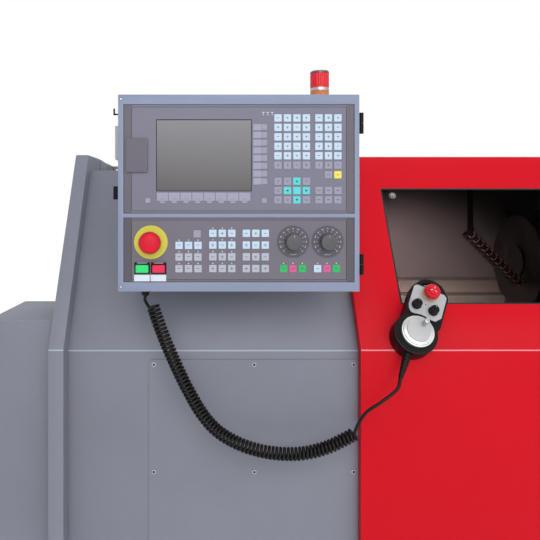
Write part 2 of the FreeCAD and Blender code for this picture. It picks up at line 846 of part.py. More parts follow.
# ---- Hand pendant ---------------------------------------------------------------------------------
# It clings to the door's sloping face with magnets, turned clockwise. Z is out of the door.
pendant = Frame(
    door_face.point(size.pendant_x, size.pendant_up, 0),
    tilt=90 - size.slant,
    spin=size.pendant_tilt,
)
pendant_head = plate(pendant, rectangle(-31, 18, 71, 83), 0, size.pendant_depth, corner=11)
pendant_foot = bar(pendant, (0, 0, 0), 41, size.pendant_depth, 28)
collar = bar(pendant, (0, 0, size.pendant_depth), 37, 3, 28)
loop = bar(pendant, (9, 99, 4), 34, 10, 24)
loop_hole = bar(pendant, (9, 99, 3), 26, 12, 24)
stop_at = (4, 87.5)
stop_well = bar(pendant, (*stop_at, size.pendant_depth - 8), 9, 9, 12)
hub_well = bar(pendant, (0, 0, size.pendant_depth - 1), 7.2, 5, 12)
boot_seat = block(pendant, (-11, -44, 8), (20, 4.2, 24))
pendant_shell = fuse(pendant_head, pendant_foot, collar, cut(loop, loop_hole))
node("pendant_body", cut(pendant_shell, stop_well, hub_well, boot_seat))
face_left = [(-24, 97), (-29, 92), (-29, 51), (-26, 42), (-20, 36)]
face_right = [(27, 36), (36, 47), (36, 92), (30, 97)]
face_plate = plate(pendant, face_left + face_right, size.pendant_depth, 3)
estop_ring = bar(pendant, (*stop_at, size.pendant_depth + 3), 15.6, 1.5, 24)
dial_notch = bar(pendant, (0, 0, size.pendant_depth - 1), 38.5, 6, 28)
knob_places = (("axis_knob", -15), ("rate_knob", 17.6))
holes = [
    bar(pendant, (x, 54.4, size.pendant_depth - 1), 4.8, 7, 12) for name, x in knob_places
]
stop_hole = bar(pendant, (*stop_at, size.pendant_depth - 1), 8.2, 7, 12)
node("pendant_face", cut(fuse(face_plate, estop_ring), dial_notch, stop_hole, *holes))

# Hand wheel with its raised inner disc, and the little grip that turns on it.
stub = size.pendant_depth + 0.5
top = size.pendant_depth + 4
wheel_steps = [
    (6, stub, top),
    (size.dial_radius, top, top + 8),
    (size.dial_radius - 2.5, top + 8, top + 11),
    (21.7, top + 11, top + 14),
]
node("handwheel", stepped(pendant, (0, 0, 0), wheel_steps, 26))
grip_steps = [(3.6, 0.3, 4), (5.2, 4, 18.5)]
node("crank_grip", stepped(pendant, (5.4, 16, top + 14), grip_steps, 14, bevel=1.5))

# Selector knobs with a pointer ridge, and the pendant's own stop button.
for name, knob_x in knob_places:
    knob = stepped(pendant, (knob_x, 54.4, 0), [(4, stub, top), (9.5, top, top + 13)], 18)
    ridge = block(pendant, (knob_x - 1.5, 54.4 - 8, top + 12), (3, 16, 4))
    node(name, fuse(knob, ridge))
stop_steps = [(7.4, stub, top + 9), (15, top + 9, top + 23)]
node("pendant_estop", stepped(pendant, (*stop_at, 0), stop_steps, 24, bevel=4))

# Strain relief: a ribbed rubber boot where the cord enters the pendant.
boot_steps = [(8.6, 0, 11), (6, 11, 14), (7.2, 14, 22), (5.2, 22, 25), (6.2, 25, 36), (4.6, 36, 50)]
TOWARDS_BOTTOM = FreeCAD.Rotation(V(1, 0, 0), 90)
boot_at = (-1, -39.8, 20)
node("pendant_boot", stepped(pendant, boot_at, boot_steps, 14, TOWARDS_BOTTOM))

# ---- Console -----------------------------------------------------------------------------------------
# A wedge-shaped box, shallow at its foot so that the pendant passes behind it when the door opens.
# Its whole front is a hinged door that carries the panels.
console = Frame((size.console_x, size.console_y, size.console_z), tilt=90)
rim_y = size.console_y + size.console_door
console_top = size.console_z + size.console_height
box_outline = [
    (rim_y, size.console_z),
    (-565, size.console_z),
    (-565, 1352),
    (-440, 1500),
    (-440, console_top),
    (rim_y, console_top),
]
box = prism(world, box_outline, size.console_x, size.console_length)
wall = size.console_wall
room_outline = [
    (rim_y - 1, size.console_z + wall),
    (-565 - wall, size.console_z + wall),
    (-565 - wall, 1353),
    (-440 - wall, 1501),
    (-440 - wall, console_top - wall),
    (rim_y - 1, console_top - wall),
]
pocket_along_x(box, room_outline, wall, size.console_length - 2 * wall)
hinge_x = size.console_x + size.console_length + 6
hinge_y = size.console_y + 9
HINGES = (1353, 1612)
leaves = []
for hinge_z in HINGES:
    leaves.append(block(world, (hinge_x - 7, rim_y + 0.5, hinge_z), (4.5, 22, 18.5)))
    leaves.append(block(world, (hinge_x - 5.7, hinge_y, hinge_z), (3.2, 12, 18.5)))
    leaves.append(bar(world, (hinge_x, hinge_y, hinge_z), 4.2, 18.5, 12))
side_bracket = block(world, (size.console_x - 9, rim_y + 4, 1566), (10, 30, 62))
node("console_box", fuse(box, *leaves, side_bracket))

# Console arm: a square tube over the door's roof, on a foot plate on the rear housing.
arm = block(world, (-580, -440, 1616), (70, 640, 50))
arm_foot = block(world, (-600, 60, size.roof_z), (110, 140, 16))
node("console_arm", fuse(arm, arm_foot))

# Console front: a frame with two shallow seats for the panels, and a latch lug at its left.
frame_block = block(
    console,
    (0, 0, -size.console_door),
    (size.console_length, size.console_height, size.console_door),
)
upper_seat = block(console, (9.7, 141.8, -5), (421, 199, 6))
lower_seat = block(console, (9.7, 16.6, -5), (421, 118, 6))
panel_back = block(console, (30, 30, -19), (380, 90, 15))
screen_back = block(console, (60, 160, -19), (320, 160, 15))
knuckles = []
for hinge_z in HINGES:
    knuckles.append(block(world, (hinge_x - 7, hinge_y - 2, hinge_z + 19.5), (7, 4, 18.5)))
    knuckles.append(bar(world, (hinge_x, hinge_y, hinge_z + 19.5), 4.2, 18.5, 12))
latch = block(world, (size.console_x - 9, size.console_y + 3, 1491), (10, 11, 24))
hook_z = 1645.5
hook_wire = 2.8
hook_arm = block(world, (size.console_x - 9.5, size.console_y + 6, hook_z), (10.5, hook_wire, hook_wire))
hook_tip = block(world, (size.console_x - 9.5, size.console_y + 6, hook_z), (hook_wire, hook_wire, 12))
frame_plate = cut(frame_block, upper_seat, lower_seat, panel_back, screen_back)
node("console_frame", fuse(frame_plate, latch, hook_arm, hook_tip, *knuckles))

# Display panel with the screen's recess, and the glass that fills it.
display = block(console, (9.7, 141.8, -5), (421, 199, 4))
screen_recess = block(console, (69.4, 182.6, -3), (174.2, 130.6, 3))
card_slot = block(console, (22, 228, -4), (24, 40, 4))
node("display_panel", cut(display, screen_recess, card_slot))
node("display_screen", block(console, (69.4, 182.6, -3), (174.2, 130.6, 1.2)))

# Display keys: two columns of keypad, arrow keys, and the soft keys round the screen.
keys = []


def key(x, y, length=None, height=None):
    """A raised key on the panel, by its middle."""
    length = size.key if length is None else as_dim(length)
    height = size.key if height is None else as_dim(height)
    corner = (x - length / 2, y - height / 2, -1)
    keys.append(block(console, corner, (length, height, size.key_rise), "key"))


pitch = size.key_pitch.value
for row in range(6):
    for column in range(7):
        group_gap = 5.8 if column > 3 else 0
        key(291.2 + pitch * column + group_gap, 315.9 - pitch * row)
for row in range(3):
    for column in range(4):
        key(291.2 + pitch * column, 200.7 - 17 * row)
for row in range(2):
    for column in range(3):
        key(365.8 + pitch * column, 183.8 - 17 * row)
for column in range(2):
    key(383 + pitch * column, 212.4)
for place_in_row in range(8):
    key(80.9 + 21.4 * place_in_row, 165.5, 15, 9.5)
    key(266.6, 299.2 - 14.1 * place_in_row, 9.5, 11)
key(54.3, 165.5, 9, 9)
key(266.2, 165.5, 9, 9)
node("display_keys", group(*keys))

# Card flap: a raised lid over the card slot, hinged at its left edge.
node("card_flap", block(console, (14.8, 216.7, -0.7), (39.5, 61.8, 3.6)))

# Control panel: bored for the buttons and knobs, with the yellow ring and the two dials on it.
control = block(console, (9.7, 16.6, -5), (421, 118, 4))
ring = bar(console, (59.8, 89.6, -1.5), 30.5, 1.9, 28)
dials = [bar(console, (x, 90.5, -1.5), 29.3, 1.3, 28) for x in (318.7, 381.5)]
bores = [
    bar(console, (59.8, 89.6, -6), 12, 8, 16),
    bar(console, (318.7, 90.5, -6), 4.8, 8, 12),
    bar(console, (381.5, 90.5, -6), 4.8, 8, 12),
    block(console, (32, 34, -6), (24, 15, 8)),
    block(console, (62, 34, -6), (24, 15, 8)),
]
node("control_panel", cut(fuse(control, ring, *dials), *bores))

# Control keys: the direction and mode keys right of the stop button.
keys = []
for row in range(4):
    for column in range(3):
        key(172.6 + pitch * column, 105.9 - 21.4 * row)
        key(233.6 + pitch * column, 105.9 - 21.4 * row)
for row in range(3):
    for column in range(3):
        key(111.1 + pitch * column, 83.9 - 21.2 * row)
for column in range(3):
    key(301.5 + 17 * column, 41.6)
    key(363.4 + 17 * column, 41.6)
key(144, 105)
node("control_keys", group(*keys))

# Stop button of the console: a red mushroom head on a stem through the panel.
mushroom = [(11, -5, 17), (20, 17, 35)]
node("console_estop", stepped(console, (59.8, 89.6, 0), mushroom, 28, bevel=5))
# Start and stop push buttons: square lenses in their bezels.
node("start_button", block(console, (32.4, 34.4, -5), (23.2, 14.2, 10)))
node("stop_button", block(console, (62.4, 34.4, -5), (23.2, 14.2, 10)))
# Override knobs: turned grips with a pointer ridge.
grip_steps = [(4, -5, 1), (15.7, 1, 18)]
for name, knob_x in (("feed_knob", 318.7), ("speed_knob", 381.5)):
    knob = stepped(console, (knob_x, 90.5, 0), grip_steps, 24, bevel=1.5)
    ridge = block(console, (knob_x - 2, 90.5 - 14, 17), (4, 28, 5))
    node(name, fuse(knob, ridge))

# ---- Signal tower ----------------------------------------------------------------------------------------
tower = Frame((-240, 181, size.roof_z))
tower_parts = [stepped(tower, (0, 0, 0), [(40, 0, 8), (11, 8, 136), (30, 136, 148)], 16)]
lenses = []
for lens_z in (148, 205, 262):
    lenses.append(bar(tower, (0, 0, lens_z), 30, 47, 16))
    tower_parts.append(bar(tower, (0, 0, lens_z + 47), 30, 10 if lens_z < 262 else 8, 16))
node("stack_light_base", group(*tower_parts))
node("stack_light_lenses", group(*lenses))

# ---- Cord of the pendant -----------------------------------------------------------------------------
# Gland under the console, where the cord leaves it.
gland_at = (-717, -582, size.console_z - 12)
node("cord_gland", stepped(world, gland_at, [(7, 0, 6), (10, 6, 12)], 12))

# The curls wind round this line, which hangs from the gland in a bow to the pendant's tail.
# Its points are the poles of a quadratic B-spline.
CURL_LINE = [
    (-703, -582, 1291),
    (-692, -582, 1258),
    (-679.4, -582, 1225),
    (-656, -581, 1171),
    (-632.5, -580, 1124),
    (-611, -579, 1087),
    (-583.8, -578, 1055),
    (-550, -577, 1034),
    (-516.9, -577, 1021),
    (-480, -577, 1013),
    (-446.2, -577, 1010.5),
    (-412.6, -577, 1013),
    (-379, -578, 1022),
    (-348.9, -579, 1036),
    (-324, -580, 1050),
]
curl_line = Part.BSplineCurve()
curl_line.buildFromPoles([V(*p) for p in CURL_LINE], False, 2)
curl_length = curl_line.length()
OUTWARD = V(0, -1, 0)


def curl_point(turns):
    """A point of the cord's centre and its direction, after so many turns."""
    share = max(0.0, min(1.0, turns / size.curls.value))
    parameter = curl_line.parameterAtDistance(share * curl_length)
    centre = curl_line.value(parameter)
    ahead = curl_line.tangent(parameter)[0]
    outward = OUTWARD - ahead * OUTWARD.dot(ahead)
    outward.normalize()
    side = outward.cross(ahead)
    angle = 2 * math.pi * turns
    radius = size.curl_radius.value
    point = centre + outward * (radius * math.cos(angle)) + side * (radius * math.sin(angle))
    rate = side * (radius * math.cos(angle)) - outward * (radius * math.sin(angle))
    heading = rate * (2 * math.pi) + ahead * (curl_length / size.curls.value)
    return point, heading.normalize()


def arc_between(start, heading, end):
    """The arc that leaves start along heading and ends at end."""
    chord = end - start
    along = V(chord).normalize()
    bulge = heading - along * heading.dot(along)
    if bulge.Length < 1e-7:
        return Part.makeLine(start, end)
    half_turn = math.acos(max(-1.0, min(1.0, heading.dot(along))))
    bulge.normalize()
    middle = start + chord * 0.5 + bulge * (chord.Length / 2 * math.tan(half_turn / 2))
    return Part.Arc(start, middle, end).toShape()


def biarc(start, heading_in, end, heading_out):
    """Two tangent arcs from one point and direction to another."""
    chord = end - start
    both = heading_in + heading_out
    spread = 2 * (1 - heading_in.dot(heading_out))
    lean = chord.dot(both)
    reach = (math.sqrt(lean * lean + spread * chord.dot(chord)) - lean) / spread
    first, second = start + heading_in * reach, end - heading_out * reach
    joint = (first + second) * 0.5
    middle_heading = (second - first).normalize()
    return [arc_between(start, heading_in, joint), arc_between(joint, middle_heading, end)]


def rounded_path(points, label):
    """Straight runs joined by arcs as large as the runs allow. Returns the edges and prints the radii."""
    edges = []
    radii = []
    start = points[0]
    for before, corner, after in zip(points, points[1:], points[2:]):
        back, ahead = corner - before, after - corner
        turn = back.getAngle(ahead)
        reach = 0.45 * min(back.Length, ahead.Length)
        radii.append(round(reach / math.tan(turn / 2), 1))
        enter = corner - V(back).normalize() * reach
        leave = corner + V(ahead).normalize() * reach
        edges.append(Part.makeLine(start, enter))
        edges.append(arc_between(enter, V(back).normalize(), leave))
        start = leave
    edges.append(Part.makeLine(start, points[-1]))
    print(f"{label}: radii {radii}")
    return edges


def sweep(edges, sides, radius):
    """A tube of a many-sided section along a path, as one solid."""
    path = Part.Wire(edges)
    start = path.Edges[0].valueAt(path.Edges[0].FirstParameter)
    heading = path.Edges[0].tangentAt(path.Edges[0].FirstParameter)
    outward = (OUTWARD - heading * OUTWARD.dot(heading)).normalize()
    side = heading.cross(outward)
    corners = []
    for i in range(sides + 1):
        angle = 2 * math.pi * (i + 0.5) / sides
        corners.append(start + outward * (radius * math.cos(angle)) + side * (radius * math.sin(angle)))
    section = Part.Wire(Part.makePolygon(corners).Edges)
    solid = path.makePipeShell([section], True, False)
    expected = Part.Face(section).Area * path.Length
    print(f"tube: length {path.Length:.1f}, volume {solid.Volume:.0f} for {expected:.0f}")
    return solid


gland_mouth = V(-717, -582, size.console_z.value - 12)
first_point, first_heading = curl_point(0)
last_point, last_heading = curl_point(size.curls.value)
lead = [gland_mouth, V(-717, -582, 1299), first_point - first_heading * 11]
lead_edges = rounded_path(lead + [first_point], "lead")
curl_edges = []
half_turns = int(2 * size.curls.value)
for half in range(half_turns):
    here, here_heading = curl_point(half / 2)
    there, there_heading = curl_point((half + 1) / 2)
    curl_edges += biarc(here, here_heading, there, there_heading)

samples = [curl_point(i / 24)[0] for i in range(24 * int(size.curls.value) + 1)]
near = min(
    samples[i].distanceToPoint(samples[j])
    for i in range(len(samples))
    for j in range(i + 14, min(i + 34, len(samples)))
)
gap = near - 2 * size.cord_radius.value
print(f"curly cord: least gap between curls {gap:.2f}")

boot_start = pendant.vector(*boot_at)
boot_end = pendant.vector(boot_at[0], boot_at[1] - 50, boot_at[2])
boot_heading = (boot_end - boot_start).normalize()
# The free tail runs from the last curl up to the boot.
TAIL = [
    last_point,
    last_point + last_heading * 11,
    V(-320, -597, 1078),
    V(-307, -603, 1100),
    V(-282, -607, 1119),
    boot_end + boot_heading * 22,
    boot_end,
]
tail_edges = rounded_path(TAIL, "tail")
curly = doc.addObject("Part::Feature", "curly")
curly.Shape = sweep(lead_edges + curl_edges + tail_edges, 4, size.cord_radius.value)
place(curly, world, (0, 0, 0))
node("curly_cord", curly)

# ---- Checks and files ---------------------------------------------------------------------------
doc.recompute()
failed = [o.Name for o in doc.Objects if "Invalid" in o.State or "Error" in o.State]
if failed:
    raise RuntimeError(f"not rebuilt: {failed}")
for name, thing in nodes.items():
    if thing.Shape.isNull() or not thing.Shape.isValid():
        raise RuntimeError(f"{name} has no valid shape")
os.makedirs("parts", exist_ok=True)
for name, thing in nodes.items():
    thing.Shape.exportStep(f"parts/{name}.step")
print(f"{len(nodes)} sub-parts written")
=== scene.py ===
import math

import bmesh
import bpy
from mathutils import Matrix, Vector
from mathutils.geometry import interpolate_bezier


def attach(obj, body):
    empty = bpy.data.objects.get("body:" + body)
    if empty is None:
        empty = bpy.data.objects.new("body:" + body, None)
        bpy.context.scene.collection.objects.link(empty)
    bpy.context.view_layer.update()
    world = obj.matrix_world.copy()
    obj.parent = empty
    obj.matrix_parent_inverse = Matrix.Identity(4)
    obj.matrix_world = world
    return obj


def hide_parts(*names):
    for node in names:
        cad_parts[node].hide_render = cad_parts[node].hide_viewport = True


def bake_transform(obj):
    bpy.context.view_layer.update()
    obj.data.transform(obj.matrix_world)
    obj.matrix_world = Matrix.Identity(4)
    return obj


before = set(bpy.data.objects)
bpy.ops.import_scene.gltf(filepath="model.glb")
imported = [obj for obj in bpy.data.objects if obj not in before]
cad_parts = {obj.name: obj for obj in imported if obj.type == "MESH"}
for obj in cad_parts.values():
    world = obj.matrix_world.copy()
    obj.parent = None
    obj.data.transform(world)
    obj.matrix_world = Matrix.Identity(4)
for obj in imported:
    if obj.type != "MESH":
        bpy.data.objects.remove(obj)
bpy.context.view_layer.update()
scene = bpy.context.scene

# ---- Camera ----
# It stands level, straight in front of the console's left half, as in the photograph. Its lens is
# shifted to the right and down, so that upright edges stay upright.
camera_data = bpy.data.cameras.new("camera")
camera_data.lens = 37.73
camera_data.sensor_width = 36
camera_data.shift_x = 0.1143
camera_data.shift_y = -0.1124
camera = bpy.data.objects.new("camera", camera_data)
camera.matrix_world = Matrix.Translation((-0.599, -1.645, 1.473)) @ Matrix.Rotation(math.radians(90), 4, "X")
scene.collection.objects.link(camera)
scene.camera = camera

# ---- Light and floor ----
# A white studio: an even pale sky, a large soft lamp before the machine, a weaker one from the right
# and one over the roof. The floor is a plain matt sheet that keeps the machine's shadow.
def set_inputs(step, values):
    """Gives a step's inputs their values."""
    for entry, value in dict(values).items():
        step.inputs[entry].default_value = value


def paint_step(nodes, kind, values=(), operation=None):
    """One step of a paint's recipe: a node of this kind, with the values of its inputs."""
    step = nodes.new("ShaderNode" + kind)
    if kind == "Mix":
        step.data_type = "RGBA"
    if operation:
        step.operation = operation
    set_inputs(step, values)
    return step


def lead(links, *runs):
    """Leads one step's output into another's input, for each run."""
    for source, output, target, entry in runs:
        links.new(source.outputs[output], target.inputs[entry])


def background_seen(nodes, links):
    """1 where the camera, a glossy or a clear surface sees the background, so they all see the same."""
    rays = paint_step(nodes, "LightPath")
    seen = rays.outputs["Is Camera Ray"]
    for ray in ("Is Glossy Ray", "Is Transmission Ray"):
        either = paint_step(nodes, "Math", operation="MAXIMUM")
        links.new(seen, either.inputs[0])
        links.new(rays.outputs[ray], either.inputs[1])
        seen = either.outputs["Value"]
    return seen


def new_paint(name):
    """A paint, its steps, their links and the surface that they feed."""
    paint = bpy.data.materials.new(name)
    paint.use_nodes = True
    tree = paint.node_tree
    return paint, tree.nodes, tree.links, tree.nodes["Principled BSDF"]


WHITE = (1, 1, 1, 1)


def pale_sky(nodes, links):
    """A sky that lights the machine warm from below and cool from above, and is itself seen white."""
    nodes.clear()
    out = paint_step(nodes, "OutputWorld")
    mix = paint_step(nodes, "MixShader")
    soft = paint_step(nodes, "Background", {"Strength": 0.5})
    white = paint_step(nodes, "Background", {"Color": WHITE, "Strength": 1.0})
    where = paint_step(nodes, "TexCoord")
    split = paint_step(nodes, "SeparateXYZ")
    height = paint_step(nodes, "MapRange", {"From Min": -0.3, "From Max": 0.6})
    tone = paint_step(nodes, "Mix", {"A": (1.0, 0.90, 0.90, 1), "B": (0.76, 0.91, 1.0, 1)})
    links.new(background_seen(nodes, links), mix.inputs["Fac"])
    lead(
        links,
        (where, "Generated", split, "Vector"),
        (split, "Z", height, "Value"),
        (height, "Result", tone, "Factor"),
        (tone, "Result", soft, "Color"),
        (soft, "Background", mix, 1),
        (white, "Background", mix, 2),
        (mix, "Shader", out, "Surface"),
    )


scene.view_settings.view_transform = "Standard"
world = bpy.data.worlds.new("studio")
scene.world = world
world.use_nodes = True
pale_sky(world.node_tree.nodes, world.node_tree.links)


def new_lamp(name, kind, at, aim, watts):
    """A lamp at one place, turned towards another."""
    lamp_data = bpy.data.lights.new(name, kind)
    lamp_data.energy = watts
    lamp = bpy.data.objects.new(name, lamp_data)
    lamp.location = at
    lamp.rotation_euler = (Vector(aim) - Vector(at)).to_track_quat("-Z", "Y").to_euler()
    scene.collection.objects.link(lamp)
    return lamp_data


for name, at, aim, size, watts in (
    ("key_lamp", (-0.2, -5.3, 3.5), (-0.2, -0.4, 1.2), 5.0, 182),
    ("fill_lamp", (4.2, -4.4, 3.4), (0.2, -0.4, 1.0), 3.6, 40),
    ("roof_lamp", (-0.2, 0.6, 4.4), (-0.2, 0.2, 1.5), 3.0, 45),
):
    soft_lamp = new_lamp(name, "AREA", at, aim, watts)
    soft_lamp.shape = "DISK"
    soft_lamp.size = size

floor_mesh = bpy.data.meshes.new("floor")
floor_bm = bmesh.new()
bmesh.ops.create_grid(floor_bm, x_segments=4, y_segments=4, size=9)
floor_bm.to_mesh(floor_mesh)
floor_bm.free()
floor_paint, floor_nodes, floor_links, floor_shader = new_paint("floor_white")
set_inputs(floor_shader, {"Base Color": (0.86, 0.86, 0.86, 1), "Roughness": 0.7, "Emission Color": WHITE})
floor_glow = paint_step(floor_nodes, "Math", {1: 0.6}, "MULTIPLY")
floor_links.new(background_seen(floor_nodes, floor_links), floor_glow.inputs[0])
lead(floor_links, (floor_glow, "Value", floor_shader, "Emission Strength"))
floor_mesh.materials.append(floor_paint)
floor = bpy.data.objects.new("floor", floor_mesh)
scene.collection.objects.link(floor)

# ---- Casing ----
# Folded and welded steel sheet in a fine textured blue-grey powder coat: base, side panels, left
# end guard, headstock cover, rear housing. The panels are bolted together along their folds.
detail = bpy.data.node_groups.new("surface_detail", "ShaderNodeTree")
for socket_name, socket_value in (
    ("Grain Scale", 600.0),
    ("Grain Depth", 0.1),
    ("Patch Scale", 5.0),
    ("Edge Width", 0.0015),
):
    socket = detail.interface.new_socket(name=socket_name, in_out="INPUT", socket_type="NodeSocketFloat")
    socket.default_value = socket_value
for socket_name in ("Grain", "Patches", "Edges"):
    detail.interface.new_socket(name=socket_name, in_out="OUTPUT", socket_type="NodeSocketFloat")
detail.interface.new_socket(name="Normal", in_out="OUTPUT", socket_type="NodeSocketVector")
parts = detail.nodes
given = parts.new("NodeGroupInput")
result = parts.new("NodeGroupOutput")
where = paint_step(parts, "TexCoord")
grain = paint_step(parts, "TexNoise", {"Detail": 3})
patches = paint_step(parts, "TexNoise", {"Detail": 4, "Roughness": 0.6})
bump = paint_step(parts, "Bump", {"Distance": 0.0004})
rounded = paint_step(parts, "Bevel")
rounded.samples = 4
plain = paint_step(parts, "NewGeometry")
compare = paint_step(parts, "VectorMath", operation="DOT_PRODUCT")
edge = paint_step(parts, "MapRange", {"From Min": 0.995, "From Max": 0.86})
edge_scuff_highlight = paint_step(parts, "Math", operation="MULTIPLY")
lead(
    detail.links,
    (where, "Object", grain, "Vector"),
    (where, "Object", patches, "Vector"),
    (given, "Grain Scale", grain, "Scale"),
    (given, "Patch Scale", patches, "Scale"),
    (given, "Grain Depth", bump, "Strength"),
    (given, "Edge Width", rounded, "Radius"),
    (grain, "Fac", bump, "Height"),
    (rounded, "Normal", compare, 0),
    (plain, "Normal", compare, 1),
    (compare, "Value", edge, "Value"),
    (edge, "Result", edge_scuff_highlight, 0),
    (patches, "Fac", edge_scuff_highlight, 1),
    (grain, "Fac", result, "Grain"),
    (patches, "Fac", result, "Patches"),
    (edge_scuff_highlight, "Value", result, "Edges"),
    (bump, "Normal", result, "Normal"),
)


def surface_grain(nodes, depth, scale=600):
    """The grain, drift and edge mask that all finishes share, with one finish's own depth and scale.
    The lighter edges are scuffs, and on the cable chain a painted highlight.
    """
    surface = nodes.new("ShaderNodeGroup")
    surface.node_tree = detail
    set_inputs(surface, {"Grain Scale": scale, "Grain Depth": depth})
    return surface


def finish(
    name, colour, roughness, metallic=0.0, grain=900, depth=0.05, edge_scuff_highlight=None, scuff_highlight_amount=0.5, drift=0.12, shine=0.3
):
    """A finish with fine grain, slow drift of colour and roughness, and lighter edges: scuffs, and on
    the cable chain a painted highlight.
    """
    material, nodes, links, shader = new_paint(name)
    material.diffuse_color = (*colour, 1)
    set_inputs(shader, {"Metallic": metallic, "Specular IOR Level": shine})
    lighter = [min(1, c * (1 + drift)) for c in colour]
    darker = [c * (1 - drift) for c in colour]
    scuff_highlight_colour = edge_scuff_highlight or [min(1, c * 1.5 + 0.02) for c in colour]
    spread = 0.08
    smoothest, roughest = max(0.02, roughness - spread), min(1, roughness + spread)
    surface = surface_grain(nodes, depth, grain)
    shade = paint_step(nodes, "Mix", {"A": (*lighter, 1), "B": (*darker, 1)})
    scuff_highlight_mix = paint_step(nodes, "Mix", {"B": (*scuff_highlight_colour, 1)})
    amount = paint_step(nodes, "Math", {1: scuff_highlight_amount}, "MULTIPLY")
    matt = paint_step(nodes, "MapRange", {"To Min": smoothest, "To Max": roughest})
    lead(
        links,
        (surface, "Patches", shade, "Factor"),
        (surface, "Edges", amount, 0),
        (amount, "Value", scuff_highlight_mix, "Factor"),
        (shade, "Result", scuff_highlight_mix, "A"),
        (scuff_highlight_mix, "Result", shader, "Base Color"),
        (surface, "Grain", matt, "Value"),
        (matt, "Result", shader, "Roughness"),
        (surface, "Normal", shader, "Normal"),
    )
    return material


def as_piece(name, bm, finishes, body, place=None, crease=28):
    """Makes an object of a mesh, places it, shades it and fixes it to the body it moves with."""
    if place is not None:
        bmesh.ops.transform(bm, matrix=place, verts=bm.verts)
    bmesh.ops.recalc_face_normals(bm, faces=bm.faces)
    mesh = bpy.data.meshes.new(name)
    bm.to_mesh(mesh)
    bm.free()
    mesh.shade_smooth()
    mesh.set_sharp_from_angle(angle=math.radians(crease))
    for one in finishes if isinstance(finishes, (list, tuple)) else [finishes]:
        mesh.materials.append(one)
    piece = bpy.data.objects.new(name, mesh)
    scene.collection.objects.link(piece)
    if body:
        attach(piece, body)
    return piece


def eased(bm, edges, width, segments):
    """Rounds or flattens edges and gives the new faces."""
    return bmesh.ops.bevel(
        bm,
        geom=edges,
        offset=width,
        offset_type="OFFSET",
        affect="EDGES",
        segments=segments,
        profile=0.5,
        material=-1,
        clamp_overlap=True,
    )["faces"]


def softened(node, finishes, body, width=0.001, segments=2, paint=None, bend=0):
    """A plain piece with its faces joined and its edges rounded. paint(centre) gives a face's finish.
    Folds of 20 to 35 degrees get a strip of the second finish, bend wide on each side: a painted
    highlight along the fold."""
    slightest_fold, sharpest_fold = math.radians(20), math.radians(35)
    bm = bmesh.new()
    bm.from_mesh(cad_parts[node].data)
    bmesh.ops.remove_doubles(bm, verts=bm.verts, dist=1e-6)
    bmesh.ops.dissolve_limit(
        bm, angle_limit=math.radians(0.4), verts=bm.verts, edges=bm.edges, delimit={"NORMAL"}
    )
    for face in bm.faces:
        face.material_index = 0
    if bend:
        whole = [e for e in bm.edges if e.is_manifold]
        folds = [e for e in whole if slightest_fold < e.calc_face_angle(0) < sharpest_fold]
        for face in eased(bm, folds, bend, 1):
            face.material_index = 1
    whole = [e for e in bm.edges if e.is_manifold]
    eased(bm, [e for e in whole if e.calc_face_angle(0) > sharpest_fold], width, segments)
    if paint:
        for face in bm.faces:
            face.material_index = paint(face.calc_center_median())
    piece = as_piece(node + "_piece", bm, finishes, body)
    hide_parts(node)
    return piece


casing_paint = finish("casing_paint", (0.203, 0.205, 0.243), 0.5, depth=0.16, edge_scuff_highlight=(0.5, 0.52, 0.58))
# The second casing finish is a paler strip along the folds: painted highlight.
casing_fold_highlight = finish("casing_fold_highlight", (0.37, 0.41, 0.48), 0.42)
for node, width in (
    ("machine_base", 0.002),
    ("left_side_panel", 0.002),
    ("right_side_panel", 0.002),
    ("left_end_guard", 0.003),
    ("headstock_cover", 0.0008),
    ("rear_housing", 0.001),
    ("rear_guard", 0.0008),
):
    softened(node, [casing_paint, casing_fold_highlight], "machine", width, bend=0.0013)


def turned(bm, profile, at=(0, 0, 0), steps=32, index=0, turn=None):
    """A body of revolution: its profile is (radius, height) pairs up the axis from at."""
    older = set(bm.verts) | set(bm.faces)
    verts = [bm.verts.new((radius, 0, height)) for radius, height in profile]
    edges = [bm.edges.new(pair) for pair in zip(verts, verts[1:])]
    bmesh.ops.spin(
        bm,
        geom=verts + edges,
        cent=(0, 0, 0),
        axis=(0, 0, 1),
        angle=2 * math.pi,
        steps=steps,
        use_merge=True,
        use_duplicate=False,
    )
    bmesh.ops.remove_doubles(bm, verts=[v for v in bm.verts if v not in older], dist=1e-4)
    move = Matrix.Translation(at) @ (turn or Matrix.Identity(4))
    bmesh.ops.transform(bm, matrix=move, verts=[v for v in bm.verts if v not in older])
    for face in bm.faces:
        if face not in older:
            face.material_index = index


def pad(bm, x, y, wide, high, foot, top, corner=1.0, rim=0.4, index=0):
    """A raised rounded rectangle, with the edge of its top eased by rim."""
    outline = []
    for cx, cy, start in (
        (x + wide - corner, y + high - corner, 0),
        (x + corner, y + high - corner, 90),
        (x + corner, y + corner, 180),
        (x + wide - corner, y + corner, 270),
    ):
        for step in range(4):
            angle = math.radians(start + 30 * step)
            spot = (cx + corner * math.cos(angle), cy + corner * math.sin(angle), foot)
            outline.append(bm.verts.new(spot))
    base = bm.faces.new(outline)
    drawn = bmesh.ops.extrude_face_region(bm, geom=[base])
    lifted = [item for item in drawn["geom"] if isinstance(item, bmesh.types.BMVert)]
    cap = [item for item in drawn["geom"] if isinstance(item, bmesh.types.BMFace)]
    bmesh.ops.translate(bm, vec=(0, 0, top - rim - foot), verts=lifted)
    sides = {face for vert in lifted for face in vert.link_faces}
    if rim:
        inset = bmesh.ops.inset_individual(bm, faces=cap, thickness=rim, depth=rim, use_even_offset=True)
        sides |= set(inset["faces"])
    for face in sides | set(cap) | {base}:
        if face.is_valid:
            face.material_index = index


